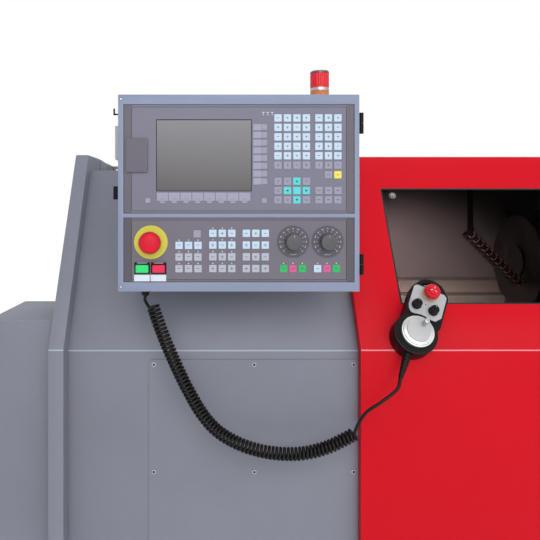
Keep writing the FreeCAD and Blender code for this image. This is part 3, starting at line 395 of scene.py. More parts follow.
# ---- Service panel and its screws ----
# A flat lid of painted steel sheet over the headstock's belt and services, held by nine zinc-plated
# socket screws.
softened("service_panel", casing_paint, "machine", 0.0006, 1)
zinc = finish("zinc", (0.42, 0.43, 0.45), 0.38, metallic=0.85, grain=500, depth=0.1)
# Dark steel: black button heads of the window bolts, and painted shade in screw sockets and round screw
# heads.
black_steel_and_shade = finish("black_steel_and_shade", (0.035, 0.033, 0.036), 0.42, metallic=0.4, depth=0.1)
HEAD = [(4.4, 0), (4.4, 1.6), (3.9, 2.2), (2.7, 2.2)]
# The socket of each zinc screw is dark steel: painted shade in the recess.
SOCKET = [(2.7, 2.2), (2.6, 0.5), (0, 0.5)]
LID_FACE = -521
TO_FRONT = Matrix.Rotation(math.radians(90), 4, "X")
MM = Matrix.Scale(0.001, 4)
bm = bmesh.new()
for x in (-707, -507.7, -310.6):
    for z in (1164.7, 952, 739.5):
        turned(bm, HEAD, (x, LID_FACE, z), 20, turn=TO_FRONT)
        turned(bm, SOCKET, (x, LID_FACE, z), 20, 1, TO_FRONT)
as_piece("service_screws", bm, [zinc, black_steel_and_shade], "machine", MM)

# ---- Levelling feet and rails ----
# Zinc-plated steel pads with hexagon studs, screwed into the base. The door's rails are ground
# steel, screwed to the sill and the roof.
softened("levelling_feet", zinc, "machine", 0.002)
rail_steel = finish("rail_steel", (0.5, 0.51, 0.53), 0.3, metallic=0.9, grain=700, depth=0.08)
softened("door_rails", rail_steel, "machine", 0.0008, 1)

# ---- Door ----
# One folded tray of steel sheet in glossy red, hung on the upper rail and led by shoes below. The
# fixed cover on its right is folded from the same sheet and screwed to the casing.
door_paint = finish(
    "door_paint",
    (0.60, 0.004, 0.013),
    0.42,
    depth=0.1,
    edge_scuff_highlight=(0.8, 0.25, 0.27),
    scuff_highlight_amount=0.4,
    drift=0.05,
    shine=0.1,
)
# The second door finish is a paler strip along the folds: painted highlight.
door_fold_highlight = finish("door_fold_highlight", (0.80, 0.22, 0.26), 0.34)
softened("door_panel", [door_paint, door_fold_highlight], "door", 0.0012, bend=0.0013)
softened("right_front_cover", [door_paint, door_fold_highlight], "machine", 0.0009, bend=0.0013)

# Window: tinted laminated glass behind the door's skin, in a black rubber seal, held by four bolts.
# FACE starts at the door's fold and lies on its slanted upper half, in millimetres.
FACE = Matrix.Translation((0, -0.546, 1.199124)) @ Matrix.Rotation(math.radians(60), 4, "X") @ MM


def tinted_glass():
    """Brown glass that bends the light very little, with a slightly uneven polish."""
    glass, nodes, links, shader = new_paint("window_glass")
    set_inputs(shader, {"Base Color": (0.30, 0.235, 0.215, 1), "Metallic": 0})
    set_inputs(shader, {"Transmission Weight": 1, "IOR": 1.04})
    surface = surface_grain(nodes, 0.02, 60)
    matt = paint_step(nodes, "MapRange", {"To Min": 0.02, "To Max": 0.06})
    lead(
        links,
        (surface, "Patches", matt, "Value"),
        (matt, "Result", shader, "Roughness"),
        (surface, "Normal", shader, "Normal"),
    )
    return glass


softened("door_window", tinted_glass(), "door", 0.001, 1)
rubber = finish("rubber", (0.012, 0.012, 0.013), 0.6, grain=500, depth=0.12)


def rim_strip(bm, x, y, wide, high, width, foot, top):
    """A closed strip round a rectangle, with mitred corners and an eased top."""
    rings = []
    for grow, z in ((0, foot), (0, top), (-width * 0.25, top + 0.5), (-width * 0.8, top), (-width, foot)):
        corners = (
            (x - grow, y - grow),
            (x + wide + grow, y - grow),
            (x + wide + grow, y + high + grow),
            (x - grow, y + high + grow),
        )
        rings.append([bm.verts.new((cx, cy, z)) for cx, cy in corners])
    for ring, following in zip(rings, rings[1:] + rings[:1]):
        for corner in range(4):
            across = (corner + 1) % 4
            bm.faces.new((ring[corner], ring[across], following[across], following[corner]))


bm = bmesh.new()
rim_strip(bm, -208.6, 95, 573.2, 276.2, 3.4, -2.6, -0.4)
as_piece("window_seal", bm, rubber, "door", FACE)

window_steel = finish("window_steel", (0.16, 0.155, 0.155), 0.35, metallic=0.6, grain=500, depth=0.06)
bolt_edge = finish("bolt_edge", (0.6, 0.6, 0.6), 0.3, metallic=0.7, grain=500, depth=0.06)
WASHER = [(7, -2.6), (8, -2.6), (7.6, -1.4), (6.4, -0.9), (5.4, -1.2)]
BUTTON = [(5.4, -1.2), (5, -0.6), (3.2, -0.2), (3, -1.6), (0, -1.6)]
SOCKET_EDGE = [(2.2, -1.5), (2.6, -0.5), (3.2, -0.1), (3.6, -0.3)]
bm = bmesh.new()
for x in (-183, 339):
    for y in (113, 353):
        for index, profile in enumerate((WASHER, BUTTON, SOCKET_EDGE)):
            turned(bm, profile, (x, y, 0), 32, index)
as_piece("window_bolts", bm, [window_steel, black_steel_and_shade, bolt_edge], "door", FACE)

# Door handle: a straight steel tube in satin black on two posts with round feet, screwed from
# inside the door.
handle_black = finish("handle_black", (0.022, 0.022, 0.023), 0.4, grain=500, depth=0.06)
HANDLE_X = 418
DOOR_FACE = -546
TUBE_END = [(0, 0), (8.5, 0), (11.2, 3), (11.5, 6)]
HANDLE_LENGTH = 260
tube = TUBE_END + [(radius, HANDLE_LENGTH - height) for radius, height in reversed(TUBE_END)]
bm = bmesh.new()
turned(bm, tube, (HANDLE_X, DOOR_FACE - 45, 880), 32)
for z in (900, 1120):
    turned(bm, [(8, 2), (8, 40)], (HANDLE_X, DOOR_FACE, z), 20, turn=TO_FRONT)
    foot = [(8, 0), (13.5, 0), (13.5, 3), (12.5, 4), (8, 4)]
    turned(bm, foot, (HANDLE_X, DOOR_FACE, z), 24, turn=TO_FRONT)
handle = as_piece("door_handle_piece", bm, handle_black, "door", MM)
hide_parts("door_handle")

# ---- Console ----
# A folded steel box with a hinged front in textured blue-grey paint, on a square arm that is bolted
# to the rear housing. Two screws hold the front's left edge.
console_paint = finish(
    "console_paint", (0.236, 0.266, 0.37), 0.46, grain=380, depth=0.34, edge_scuff_highlight=(0.6, 0.65, 0.75), scuff_highlight_amount=0.4
)
black_plastic = finish(
    "black_plastic",
    (0.007, 0.006, 0.007),
    0.36,
    grain=600,
    depth=0.1,
    edge_scuff_highlight=(0.06, 0.06, 0.065),
    shine=0.1,
)
softened("console_arm", console_paint, "machine", 0.003)
LEFT_WALL, RIGHT_WALL = -0.7637, -0.3239


def on_box(centre):
    """Hinge halves are black, the side bracket is plain plate, the rest of the box is painted."""
    if centre.x > RIGHT_WALL:
        return 1
    return 2 if centre.x < LEFT_WALL else 0


def on_front(centre):
    """Hinge halves, latch and hook are black; the rest of the frame is painted."""
    return 1 if centre.x > RIGHT_WALL or centre.x < LEFT_WALL else 0


bracket_plate = finish("bracket_plate", (0.42, 0.38, 0.39), 0.4, metallic=0.2, grain=700, depth=0.08)
softened(
    "console_box",
    [console_paint, black_plastic, bracket_plate],
    "machine",
    0.0012,
    paint=on_box,
)
softened(
    "console_frame", [console_paint, black_plastic], "console_door", 0.0012, paint=on_front
)
# CONSOLE starts at the lower left corner of the front, in millimetres, and its Z faces the operator.
CONSOLE = Matrix.Translation((-0.7633, -0.615, 1.3234)) @ TO_FRONT @ MM
# Under each zinc head is a dark ring a little wider than the head: painted shadow round the head.
HEAD_SHADOW_RING = [(0, 0), (3.1, 0), (3.1, 0.2), (0, 0.2)]
ROUND_HEAD = [(0, 0.2), (2.5, 0.2), (2.4, 1.1), (1.6, 1.7), (0.9, 1.8), (0.8, 1.1), (0, 1.1)]
bm = bmesh.new()
for y in (8, 350):
    turned(bm, HEAD_SHADOW_RING, (5.4, y, 0), 20, 1)
    turned(bm, ROUND_HEAD, (5.4, y, 0), 20)
as_piece("console_screws", bm, [zinc, black_steel_and_shade], "console_door", CONSOLE)

# Display panel: a dark plate under printed foil. The foil of this panel and of the control panel is
# darker along both ends, has a printed frame, and the black strip in the gap round each plate is
# painted shade. The control panel's foil and its end strips are darker copies of this panel's:
# painted shade lower down.
panel_foil = finish("panel_foil", (0.172, 0.162, 0.212), 0.42, drift=0.07)
strip_foil = finish("strip_foil", (0.125, 0.109, 0.133), 0.45)
# The lower end strips and the control panel's foil are darker copies: painted shade lower down.
lower_strip_shade = finish("lower_strip_shade", (0.092, 0.080, 0.097), 0.45)
lower_panel_shade_foil = finish("lower_panel_shade_foil", (0.153, 0.135, 0.165), 0.42, drift=0.07)
# Black for the painted shade in the gaps and for the printed frame.
gap_shade_and_print = finish("gap_shade_and_print", (0.012, 0.011, 0.013), 0.6, grain=600, depth=0.1)
softened("display_panel", panel_foil, "console_door", 0.0004, 1)
FOIL_FOOT, FOIL_TOP = -1.3, -0.9
bm = bmesh.new()
for x, width in ((10.2, 14), (416.2, 14.2)):
    pad(bm, x, 142.2, width, 198.2, FOIL_FOOT, FOIL_TOP, 0.3, 0.05)
    pad(bm, x, 17, width, 117.2, FOIL_FOOT, FOIL_TOP, 0.3, 0.05, 1)
as_piece("panel_end_strips", bm, [strip_foil, lower_strip_shade], "console_door", CONSOLE)


def stroke(bm, ax, ay, bx, by, width, foot, top, index=0):
    """A printed line between two points, a hair above the surface."""
    run = Vector((bx - ax, by - ay))
    place = (
        Matrix.Translation(((ax + bx) / 2, (ay + by) / 2, (foot + top) / 2))
        @ Matrix.Rotation(math.atan2(run.y, run.x), 4, "Z")
        @ Matrix.Diagonal((run.length + width, width, top - foot, 1))
    )
    for vert in bmesh.ops.create_cube(bm, size=1, matrix=place)["verts"]:
        for face in vert.link_faces:
            face.material_index = index


# Black strips in the gaps round each plate and round the screen: painted shade. The lines inside the end
# strips are the printed frame.
bm = bmesh.new()
for y, high in ((142.3, 198), (17.1, 117)):
    rim_strip(bm, 10.2, y, 420, high, 0.8, -4.8, FOIL_TOP)
rim_strip(bm, 69.4, 182.6, 174.2, 130.6, 1.1, -2.9, FOIL_TOP)
left, right = 24.6, 415.8
for low, high in ((21.4, 130), (146.6, 336)):
    for x in (left, right):
        stroke(bm, x, low, x, high, 0.8, FOIL_FOOT, -0.86)
    for y in (low, high):
        stroke(bm, left, y, right, y, 0.8, FOIL_FOOT, -0.86)
as_piece("panel_gaps", bm, gap_shade_and_print, "console_door", CONSOLE)

# Display: unlit, a dark glass bonded behind its bezel, painted lighter towards the upper edge: a
# painted reflection.
# SCREEN_FOOT and SCREEN_HEAD are its lower and upper edges above the floor, in metres.
SCREEN_FOOT, SCREEN_HEAD = 1.506, 1.637


def unlit_display():
    """Dark glass, painted lighter with the height: a painted reflection."""
    screen, nodes, links, shader = new_paint("screen_finish")
    where = paint_step(nodes, "TexCoord")
    split = paint_step(nodes, "SeparateXYZ")
    painted_reflection_rise = paint_step(nodes, "MapRange", {"From Min": SCREEN_FOOT, "From Max": SCREEN_HEAD})
    tone = paint_step(nodes, "Mix", {"A": (0.045, 0.038, 0.038, 1), "B": (0.150, 0.142, 0.158, 1)})
    surface = surface_grain(nodes, 0.003)
    matt = paint_step(nodes, "MapRange", {"To Min": 0.27, "To Max": 0.3})
    lead(
        links,
        (where, "Object", split, "Vector"),
        (split, "Z", painted_reflection_rise, "Value"),
        (painted_reflection_rise, "Result", tone, "Factor"),
        (tone, "Result", shader, "Base Color"),
        (surface, "Grain", matt, "Value"),
        (matt, "Result", shader, "Roughness"),
        (surface, "Normal", shader, "Normal"),
    )
    return screen


softened("display_screen", unlit_display(), "console_door", 0.0003, 1)

# Display keys: rubber domes under printed foil. The letters' keys are the palest, the cursor block
# has turquoise arrows, and one key of the edit block is yellow. LETTER, CURSOR, EDIT, SOFT and SIDE
# are the middles of the first keys of their blocks.
def key_foil(name, colour):
    """The printed foil over a key's dome."""
    return finish(name, colour, 0.5, drift=0.04)


key_pale = key_foil("key_pale", (0.52, 0.63, 0.76))
key_grey = key_foil("key_grey", (0.30, 0.29, 0.37))
key_teal = key_foil("key_teal", (0.10, 0.60, 0.60))
key_yellow = key_foil("key_yellow", (0.80, 0.72, 0.10))
label_grey = key_foil("label_grey", (0.32, 0.315, 0.41))
key_ink = finish("key_ink", (0.045, 0.045, 0.06), 0.55)
KEY_FINISHES = [key_pale, key_grey, key_teal, key_yellow, key_ink, label_grey]
PALE, GREY, TEAL, YELLOW, INK, LABEL = range(6)
KEY_PITCH, CLOSE_PITCH = 17.2, 17
SOFT_PITCH, SIDE_PITCH = 21.4, 14.1
LETTER_X, LETTER_Y = 291.2, 315.9
CURSOR_X, CURSOR_Y = 291.2, 200.7
EDIT_X, EDIT_Y = 365.8, 183.8
UPPER_EDIT_Y = 212.4
SOFT_X, SOFT_Y = 80.9, 165.5
SIDE_X, SIDE_Y = 266.6, 299.2


def key(bm, x, y, index=0, wide=13.4, high=13.4):
    """A domed key by its middle."""
    pad(bm, x - wide / 2, y - high / 2, wide, high, -1, 0.2, 1.0, 0.45, index)


def ink(bm, ax, ay, bx, by, width):
    """A line of the sign on a key."""
    stroke(bm, ax, ay, bx, by, width, 0.15, 0.26, INK)


def arrowhead(bm, x, y, right, up):
    """A triangle on a cursor key that points right, left, up or down."""
    corners = (
        (x + 2.6 * right, y + 2.6 * up),
        (x - 1.8 * right + 2.4 * up, y - 1.8 * up + 2.4 * right),
        (x - 1.8 * right - 2.4 * up, y - 1.8 * up - 2.4 * right),
    )
    face = bm.faces.new([bm.verts.new((*corner, 0.27)) for corner in corners])
    face.material_index = INK


bm = bmesh.new()
for row in range(6):
    for column in range(7):
        x = LETTER_X + KEY_PITCH * column + (5.8 if column > 3 else 0)
        y = LETTER_Y - KEY_PITCH * row
        key(bm, x, y, PALE if row < 5 else GREY)
        mark = 1.9 if (row + column) % 3 else 1.3
        ink(bm, x - mark, y + 0.4, x + mark, y + 0.4, 0.9)
        if (2 * row + column) % 4:
            ink(bm, x + 0.2, y - 1.8, x + 0.2, y + 1.9, 0.8)
for row in range(3):
    for column in range(4):
        right, up = column - 2, 1 - row
        x = CURSOR_X + KEY_PITCH * column
        y = CURSOR_Y - CLOSE_PITCH * row
        turquoise = abs(right) + abs(up) < 2
        key(bm, x, y, TEAL if turquoise else GREY)
        if not turquoise:
            ink(bm, x - 2.4, y + 1.2, x + 2.4, y + 1.2, 0.7)
            ink(bm, x - 1.6, y - 1.4, x + 2, y - 1.4, 0.7)
        elif right or up:
            arrowhead(bm, x, y, right, up)
for row in range(2):
    for column in range(3):
        x = EDIT_X + KEY_PITCH * column
        y = EDIT_Y - CLOSE_PITCH * row
        key(bm, x, y, GREY)
        ink(bm, x - 2.2, y + 0.2, x + 2.2, y + 0.2, 1.1)
for x, index in ((383, GREY), (383 + KEY_PITCH, YELLOW)):
    key(bm, x, UPPER_EDIT_Y, index)
    ink(bm, x - 2, UPPER_EDIT_Y, x + 2, UPPER_EDIT_Y, 1)
for number in range(8):
    x = SOFT_X + SOFT_PITCH * number
    key(bm, x, SOFT_Y, GREY, 9.5, 9.5)
    pad(bm, x - 9.9, SOFT_Y - 0.3, 19.8, 14.6, -1.1, -0.75, 0.6, 0.1, LABEL)
    y = SIDE_Y - SIDE_PITCH * number
    key(bm, SIDE_X, y, GREY, 9.5, 10.6)
    pad(bm, SIDE_X - 20.1, y - 5.6, 15, 11.2, -1.1, -0.75, 0.6, 0.1, LABEL)
for x in (54.3, 266.2):
    key(bm, x, SOFT_Y, GREY, 9, 9)
for x in (264.6, 272.6, 280.8):
    stroke(bm, x - 1.3, 326, x + 1.3, 326, 1.5, -1.1, -0.7, PALE)
    stroke(bm, x, 321.4, x, 323.4, 1.1, -1.1, -0.7, PALE)
display_keys = as_piece("display_keys_piece", bm, KEY_FINISHES, "console_door", CONSOLE)
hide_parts("display_keys")

# Card flap: a moulded dark lid over the card slot, on a pin at its edge, with a finger groove at
# its free end.
flap_finish = finish("flap_finish", (0.12, 0.108, 0.13), 0.42)
bm = bmesh.new()
pad(bm, 14.8, 216.7, 39.5, 61.8, -0.6, 2.9, 1.2, 0.5)
pad(bm, 45, 240, 5, 15, 2.7, 3.3, 0.8, 0.3)
card_flap = as_piece("card_flap_piece", bm, flap_finish, "card_flap", CONSOLE)
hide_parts("card_flap")

# Control panel: a plate under printed foil, screwed on from inside, with the yellow ring round the
# stop button and the two printed dials.
# Its foil is a darker copy of the display panel's: painted shade.
softened("control_panel", lower_panel_shade_foil, "console_door", 0.0004, 1)
ring_yellow = finish("ring_yellow", (0.62, 0.55, 0.06), 0.42, drift=0.05)
dial_dark = finish("dial_dark", (0.090, 0.081, 0.098), 0.45)
print_white = finish("print_white", (0.62, 0.64, 0.70), 0.5, depth=0.04)
dial_print = finish("dial_print", (0.44, 0.44, 0.48), 0.5, depth=0.04)
STOP_AT = (59.8, 89.6, 0)
bm = bmesh.new()
turned(bm, [(12, -1), (12, 0.9), (29.8, 0.9), (30.6, 0.3), (30.6, -1), (12, -1)], STOP_AT, 64)
as_piece("stop_ring", bm, ring_yellow, "console_door", CONSOLE)


def ray(bm, x, y, angle, near, far, width, foot, top, index=0):
    """A printed line that runs outward from x, y at an angle."""
    c, s = math.cos(angle), math.sin(angle)
    stroke(bm, x + near * c, y + near * s, x + far * c, y + far * s, width, foot, top, index)


DIAL_XS, DIAL_Y = (318.7, 381.5), 90.5
DIAL_DISC = [(4.8, -1), (4.8, 0), (28.8, 0), (29.4, -0.4), (29.4, -1), (4.8, -1)]
PRINT_FOOT, PRINT_TOP, PRINTED = -0.1, 0.12, 1
WAVE = ((-5, 66.6), (-1.6, 68), (1.2, 66.4), (5.2, 68.2))
bm = bmesh.new()
for x in DIAL_XS:
    turned(bm, DIAL_DISC, (x, DIAL_Y, 0), 56)
    for number in range(13):
        angle = math.radians(225 - 22.5 * number)
        ray(bm, x, DIAL_Y, angle, 18, 20.5, 0.7, PRINT_FOOT, PRINT_TOP, PRINTED)
        outward = Vector((math.cos(angle), math.sin(angle)))
        middle = Vector((x, DIAL_Y)) + 24 * outward
        across = outward.orthogonal() * (1.3 if number % 2 else 0.7)
        ends = (*(middle + across), *(middle - across))
        stroke(bm, *ends, 1.4, PRINT_FOOT, PRINT_TOP, PRINTED)
    for (from_x, from_y), (to_x, to_y) in zip(WAVE, WAVE[1:]):
        stroke(bm, x + from_x, from_y, x + to_x, to_y, 0.9, PRINT_FOOT, PRINT_TOP, PRINTED)
as_piece("override_dials", bm, [dial_dark, dial_print], "console_door", CONSOLE)

# Control keys: domed mode and direction keys under the same foil, each with a small lamp above it,
# and a coloured row below the dials.
key_green = key_foil("key_green", (0.03, 0.42, 0.11))
key_pink = key_foil("key_pink", (0.60, 0.10, 0.27))
key_mist = key_foil("key_mist", (0.43, 0.44, 0.50))
CONTROL_FINISHES = [key_pale, key_grey, key_green, key_pink, key_ink, print_white, key_mist]
GREEN, PINK, LAMP, MIST = 2, 3, 5, 6
COLOUR_Y = 41.6


def small_lamp(bm, x, y):
    """The square lamp above the control key at x, y."""
    pad(bm, x - 1, y + 8.6, 2, 2, -1, -0.6, 0.5, 0.1, LAMP)


bm = bmesh.new()
for row in range(4):
    for column in range(3):
        for block_x in (172.6, 233.6):
            x = block_x + KEY_PITCH * column
            y = 105.9 - 21.4 * row
            key(bm, x, y, PALE if row < 2 else MIST)
            ink(bm, x - 2.4, y, x + 2.2, y, 0.9)
            if (row + column) % 2:
                ink(bm, x, y - 2.6, x, y + 2.6, 0.8)
            if block_x < 200:
                small_lamp(bm, x, y)
for row in range(3):
    for column in range(3):
        x = 111.1 + KEY_PITCH * column
        y = 83.9 - 21.2 * row
        key(bm, x, y, MIST if row else PALE)
        ink(bm, x - 2.6, y + 0.8, x + 2.2, y + 0.8, 0.9)
        small_lamp(bm, x, y)
for block_x, colours in ((301.5, (GREEN, PINK, GREEN)), (363.4, (PALE, PINK, GREEN))):
    for column, colour in enumerate(colours):
        x = block_x + CLOSE_PITCH * column
        key(bm, x, COLOUR_Y, colour)
        ink(bm, x - 2, COLOUR_Y, x + 2, COLOUR_Y, 0.9)
        small_lamp(bm, x, COLOUR_Y)
key(bm, 144, 105, GREY)
control_keys = as_piece("control_keys_piece", bm, CONTROL_FINISHES, "console_door", CONSOLE)
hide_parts("control_keys")

# Stop button: a moulded red mushroom with a flared skirt on a black stem, held by a nut behind the
# panel. It latches when it is pressed.
stop_finish = finish("stop_finish", (0.64, 0.012, 0.03), 0.36, grain=700, drift=0.06, shine=0.15)
STEM = [(0, -4.8), (10.8, -4.8), (10.8, 10), (12.5, 11), (12.5, 17)]
SKIRT = [(12.5, 17), (19.4, 17), (20, 18), (20, 22), (19.6, 25.5), (18.6, 28.8)]
CROWN = [(16.6, 31.6), (13.4, 33.6), (9, 34.6), (4, 35), (0, 35)]
bm = bmesh.new()
turned(bm, STEM, STOP_AT, 40, 1)
turned(bm, SKIRT + CROWN, STOP_AT, 56)
console_stop = as_piece(
    "console_stop_piece", bm, [stop_finish, black_plastic], "console_stop", CONSOLE, crease=40
)
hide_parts("console_estop")

# Start and stop buttons: square moulded lenses in black bezels that are screwed to the panel, with
# blank label plates below.
button_green = finish("button_green", (0.03, 0.64, 0.17), 0.34, grain=700)
button_red = finish("button_red", (0.70, 0.02, 0.07), 0.34, grain=700)
label_white = finish("label_white", (0.66, 0.72, 0.78), 0.4, depth=0.04, drift=0.05)
START_X, STOP_X = 32.4, 62.4
SCREW = [(2.1, 1.0), (2.1, 2.0), (1.2, 2.4), (0, 2.4)]
for node, left, paint_one, slot_name in (
    ("start_button", START_X, button_green, "button_green"),
    ("stop_button", STOP_X, button_red, "button_red"),
):
    bm = bmesh.new()
    pad(bm, left, 34.4, 23.2, 14.2, -4.8, 5, 1.4, 0.9)
    button = as_piece(node + "_piece", bm, paint_one, node, CONSOLE)
    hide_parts(node)
bm = bmesh.new()
for left in (START_X, STOP_X):
    rim_strip(bm, left - 2.2, 32.2, 27.6, 18.6, 2.1, -1.2, 1.2)
    pad(bm, left - 3.2, 18.4, 28.4, 11.8, -1.1, -0.5, 0.8, 0.2, 1)
    pad(bm, left + 3, 50.9, 17.2, 1.7, 1.0, 1.6, 0.7, 0.3, 2)
    for screw_x in (left - 0.2, left + 23.4):
        turned(bm, SCREW, (screw_x, 51.4, 0), 16)
as_piece(
    "button_bezels", bm, [black_plastic, label_white, label_grey], "console_door", CONSOLE
)

# Override knobs: dark moulded grips with fluted sides, a skirt and a low pointer, each pushed on to
# the shaft of its switch.
knob_finish = finish(
    "knob_finish", (0.092, 0.081, 0.088), 0.4, grain=700, depth=0.06, edge_scuff_highlight=(0.2, 0.2, 0.21)
)


def fluted(bm, rings, at, flutes, depth, steps, index=0):
    """A knob, lens or nut with fluted sides: rings are (radius, height, share of the flutes)."""
    loops = []
    for radius, height, share in rings:
        loop = []
        for step in range(steps):
            angle = 2 * math.pi * step / steps
            reach = radius - share * depth * (0.5 - 0.5 * math.cos(flutes * angle))
            spot = (at[0] + reach * math.cos(angle), at[1] + reach * math.sin(angle), height)
            loop.append(bm.verts.new(spot))
        loops.append(loop)
    faces = [bm.faces.new(loops[0][::-1]), bm.faces.new(loops[-1])]
    for lower, upper in zip(loops, loops[1:]):
        for step in range(steps):
            following = (step + 1) % steps
            around = (lower[step], lower[following], upper[following], upper[step])
            faces.append(bm.faces.new(around))
    for face in faces:
        face.material_index = index


KNOB_SKIRT = [(0, -4.8), (4, -4.8), (4, 1), (15.7, 1), (15.7, 2.6), (14.8, 3.2), (0, 3.2)]
KNOB_GRIP = ((15.3, 3, 1), (15.1, 15, 1), (14.7, 16.9, 0.7), (13.9, 17.8, 0.2), (12.6, 18, 0))
for node, x in zip(("feed_knob", "speed_knob"), DIAL_XS):
    bm = bmesh.new()
    turned(bm, KNOB_SKIRT, (x, DIAL_Y, 0), 48)
    fluted(bm, KNOB_GRIP, (x, DIAL_Y), 24, 0.9, 96)
    pad(bm, x - 1.1, 92, 2.2, 12, 17.6, 18.6, 0.6, 0.3)
    stroke(bm, x, 98, x, 103, 0.7, 18.5, 18.75, 1)
    knob = as_piece(node + "_piece", bm, [knob_finish, dial_print], node, CONSOLE)
    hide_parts(node)

# ---- Signal tower ----
# A bright metal pole with bands between three ribbed plastic lenses, red over amber over green, and
# a grey cap. Its foot is screwed to the roof, where TOWER starts, in millimetres.
tower_silver = finish("tower_silver", (0.40, 0.39, 0.41), 0.25, metallic=0.9, grain=700)
lens_finish = finish("lens_finish", (0.80, 0.008, 0.02), 0.2, grain=500, depth=0.04, drift=0.05)
lens_amber = finish("lens_amber", (0.62, 0.20, 0.05), 0.2, grain=500, depth=0.04, drift=0.05)
lens_green = finish("lens_green", (0.02, 0.36, 0.12), 0.2, grain=500, depth=0.04, drift=0.05)
cap_grey = finish("cap_grey", (0.12, 0.11, 0.13), 0.3, metallic=0.6, grain=500)
TOWER = Matrix.Translation((-0.24, 0.181, 1.6)) @ MM
FOOT = [(0, 0), (40, 0), (40, 5), (37, 8), (14, 8), (11, 11)]
POLE = [(11, 134), (20, 138), (29, 140), (30, 142), (30, 148), (0, 148)]
CAP = [(0, 309.2), (30, 309.2), (30.3, 310.5), (30.2, 314), (28.5, 316.4), (0, 317)]
FOOT_SCREW = [(4, 8), (4, 10.6), (3, 11.6), (0, 11.6)]
bm = bmesh.new()
turned(bm, FOOT + POLE, steps=48)
for low, high in ((195.2, 204.8), (252.2, 261.8)):
    band = [(0, low), (30, low), (30.3, low + 1.5), (30.3, high - 1.5), (30, high), (0, high)]
    turned(bm, band, steps=48)
turned(bm, CAP, steps=48, index=1)
for corner in range(4):
    angle = math.radians(45 + 90 * corner)
    turned(bm, FOOT_SCREW, (29 * math.cos(angle), 29 * math.sin(angle), 0), 12)
stack_base = as_piece(
    "stack_light_base_piece", bm, [tower_silver, cap_grey], "machine", TOWER
)
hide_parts("stack_light_base")
LENS = ((29.2, 0, 0), (29.6, 2, 0.3), (30, 4, 1), (30, 42.6, 1), (29.6, 44.8, 0.3), (29.2, 46.6, 0))
bm = bmesh.new()
for index, low in enumerate((148.2, 205.2, 262.2)):
    rings = [(radius, low + height, share) for radius, height, share in LENS]
    fluted(bm, rings, (0, 0), 24, 1.3, 144, index)
lenses = as_piece(
    "stack_light_lenses_piece",
    bm,
    [lens_green, lens_amber, lens_finish],
    "machine",
    TOWER,
    crease=50,
)
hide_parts("stack_light_lenses")

# ---- Pendant ----
# A black moulded shell that clings to the door with magnets, with a hanger loop at its top. PENDANT
# lies on the door's slanted half, turned by 25 degrees, in millimetres.
PENDANT = (
    Matrix.Translation((-0.203, -0.53475, 1.21861))
    @ Matrix.Rotation(math.radians(60), 4, "X")
    @ Matrix.Rotation(math.radians(-25), 4, "Z")
    @ MM
)
softened("pendant_body", black_plastic, "door", 0.0022)
pendant_plate = finish("pendant_plate", (0.40, 0.39, 0.40), 0.36, metallic=0.25, drift=0.06)
ring_amber = finish("ring_amber", (0.55, 0.33, 0.19), 0.42, drift=0.05)
PLATE_TOP = 41.05


def on_stop_ring(centre):
    """The ring under the stop button stands out of the plate and is pale amber."""
    return 1 if (PENDANT.inverted() @ centre).z > PLATE_TOP else 0


softened(
    "pendant_face", [pendant_plate, ring_amber], "door", 0.0005, 1, paint=on_stop_ring
)
PENDANT_KNOBS = (("axis_knob", -15), ("rate_knob", 17.6))
PENDANT_KNOB_Y = 54.4
bm = bmesh.new()
for _, x in PENDANT_KNOBS:
    for number in range(7):
        angle = math.radians(180 - 30 * number)
        ray(bm, x, PENDANT_KNOB_Y, angle, 11.6, 13.2, 0.6, 40.9, 41.15)
pad(bm, 0.4, 60.5, 2.6, 2.6, 40.9, 41.4, 0.9, 0.2)
as_piece("pendant_print", bm, key_ink, "door", PENDANT)

# Hand wheel: a turned aluminium disc with a stepped rim, printed graduations and a raised inner disc,
# screwed to the shaft of its counter. Its grip is a clear moulded crank on a pin.
wheel_steel = finish("wheel_steel", (0.50, 0.50, 0.50), 0.3, metallic=0.75, drift=0.04)
wheel_matt = finish("wheel_matt", (0.43, 0.43, 0.43), 0.42, metallic=0.2, depth=0.04, drift=0.03)
HUB = [(0, 38.6), (6, 38.6), (6, 42)]
RIM = [(29.8, 42), (30.5, 42.8), (30.5, 49.2), (29.8, 50), (28.2, 50.2), (27.6, 52.6), (26.8, 53)]
STEP_IN = [(23.2, 53), (21.9, 53.6)]
INNER_DISC = [(21.9, 53.6), (21.7, 55.2), (21, 55.9), (20, 56), (0, 56)]
GRADUATIONS = 50
bm = bmesh.new()
turned(bm, HUB + RIM + STEP_IN, steps=72)
turned(bm, INNER_DISC, steps=72, index=1)
for number in range(GRADUATIONS):
    near = 23.4 if number % 5 else 22.6
    ray(bm, 0, 0, 2 * math.pi * number / GRADUATIONS, near, 26.2, 0.35, 52.9, 53.12, 2)
handwheel = as_piece(
    "handwheel_piece", bm, [wheel_steel, wheel_matt, key_ink], "handwheel", PENDANT
)
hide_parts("handwheel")
grip_clear = finish("grip_clear", (0.42, 0.41, 0.42), 0.22, metallic=0.3, grain=500, depth=0.03)
PIN = [(0, 56.2), (3.6, 56.3), (3.6, 59)]
GRIP = [(5, 60), (5.2, 63), (4.7, 69), (5.1, 72.6), (4.6, 74), (3, 74.5), (0, 74.5)]
bm = bmesh.new()
turned(bm, PIN + GRIP, (5.4, 16, 0), 32)
crank = as_piece("crank_grip_piece", bm, grip_clear, "crank_grip", PENDANT)
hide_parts("crank_grip")

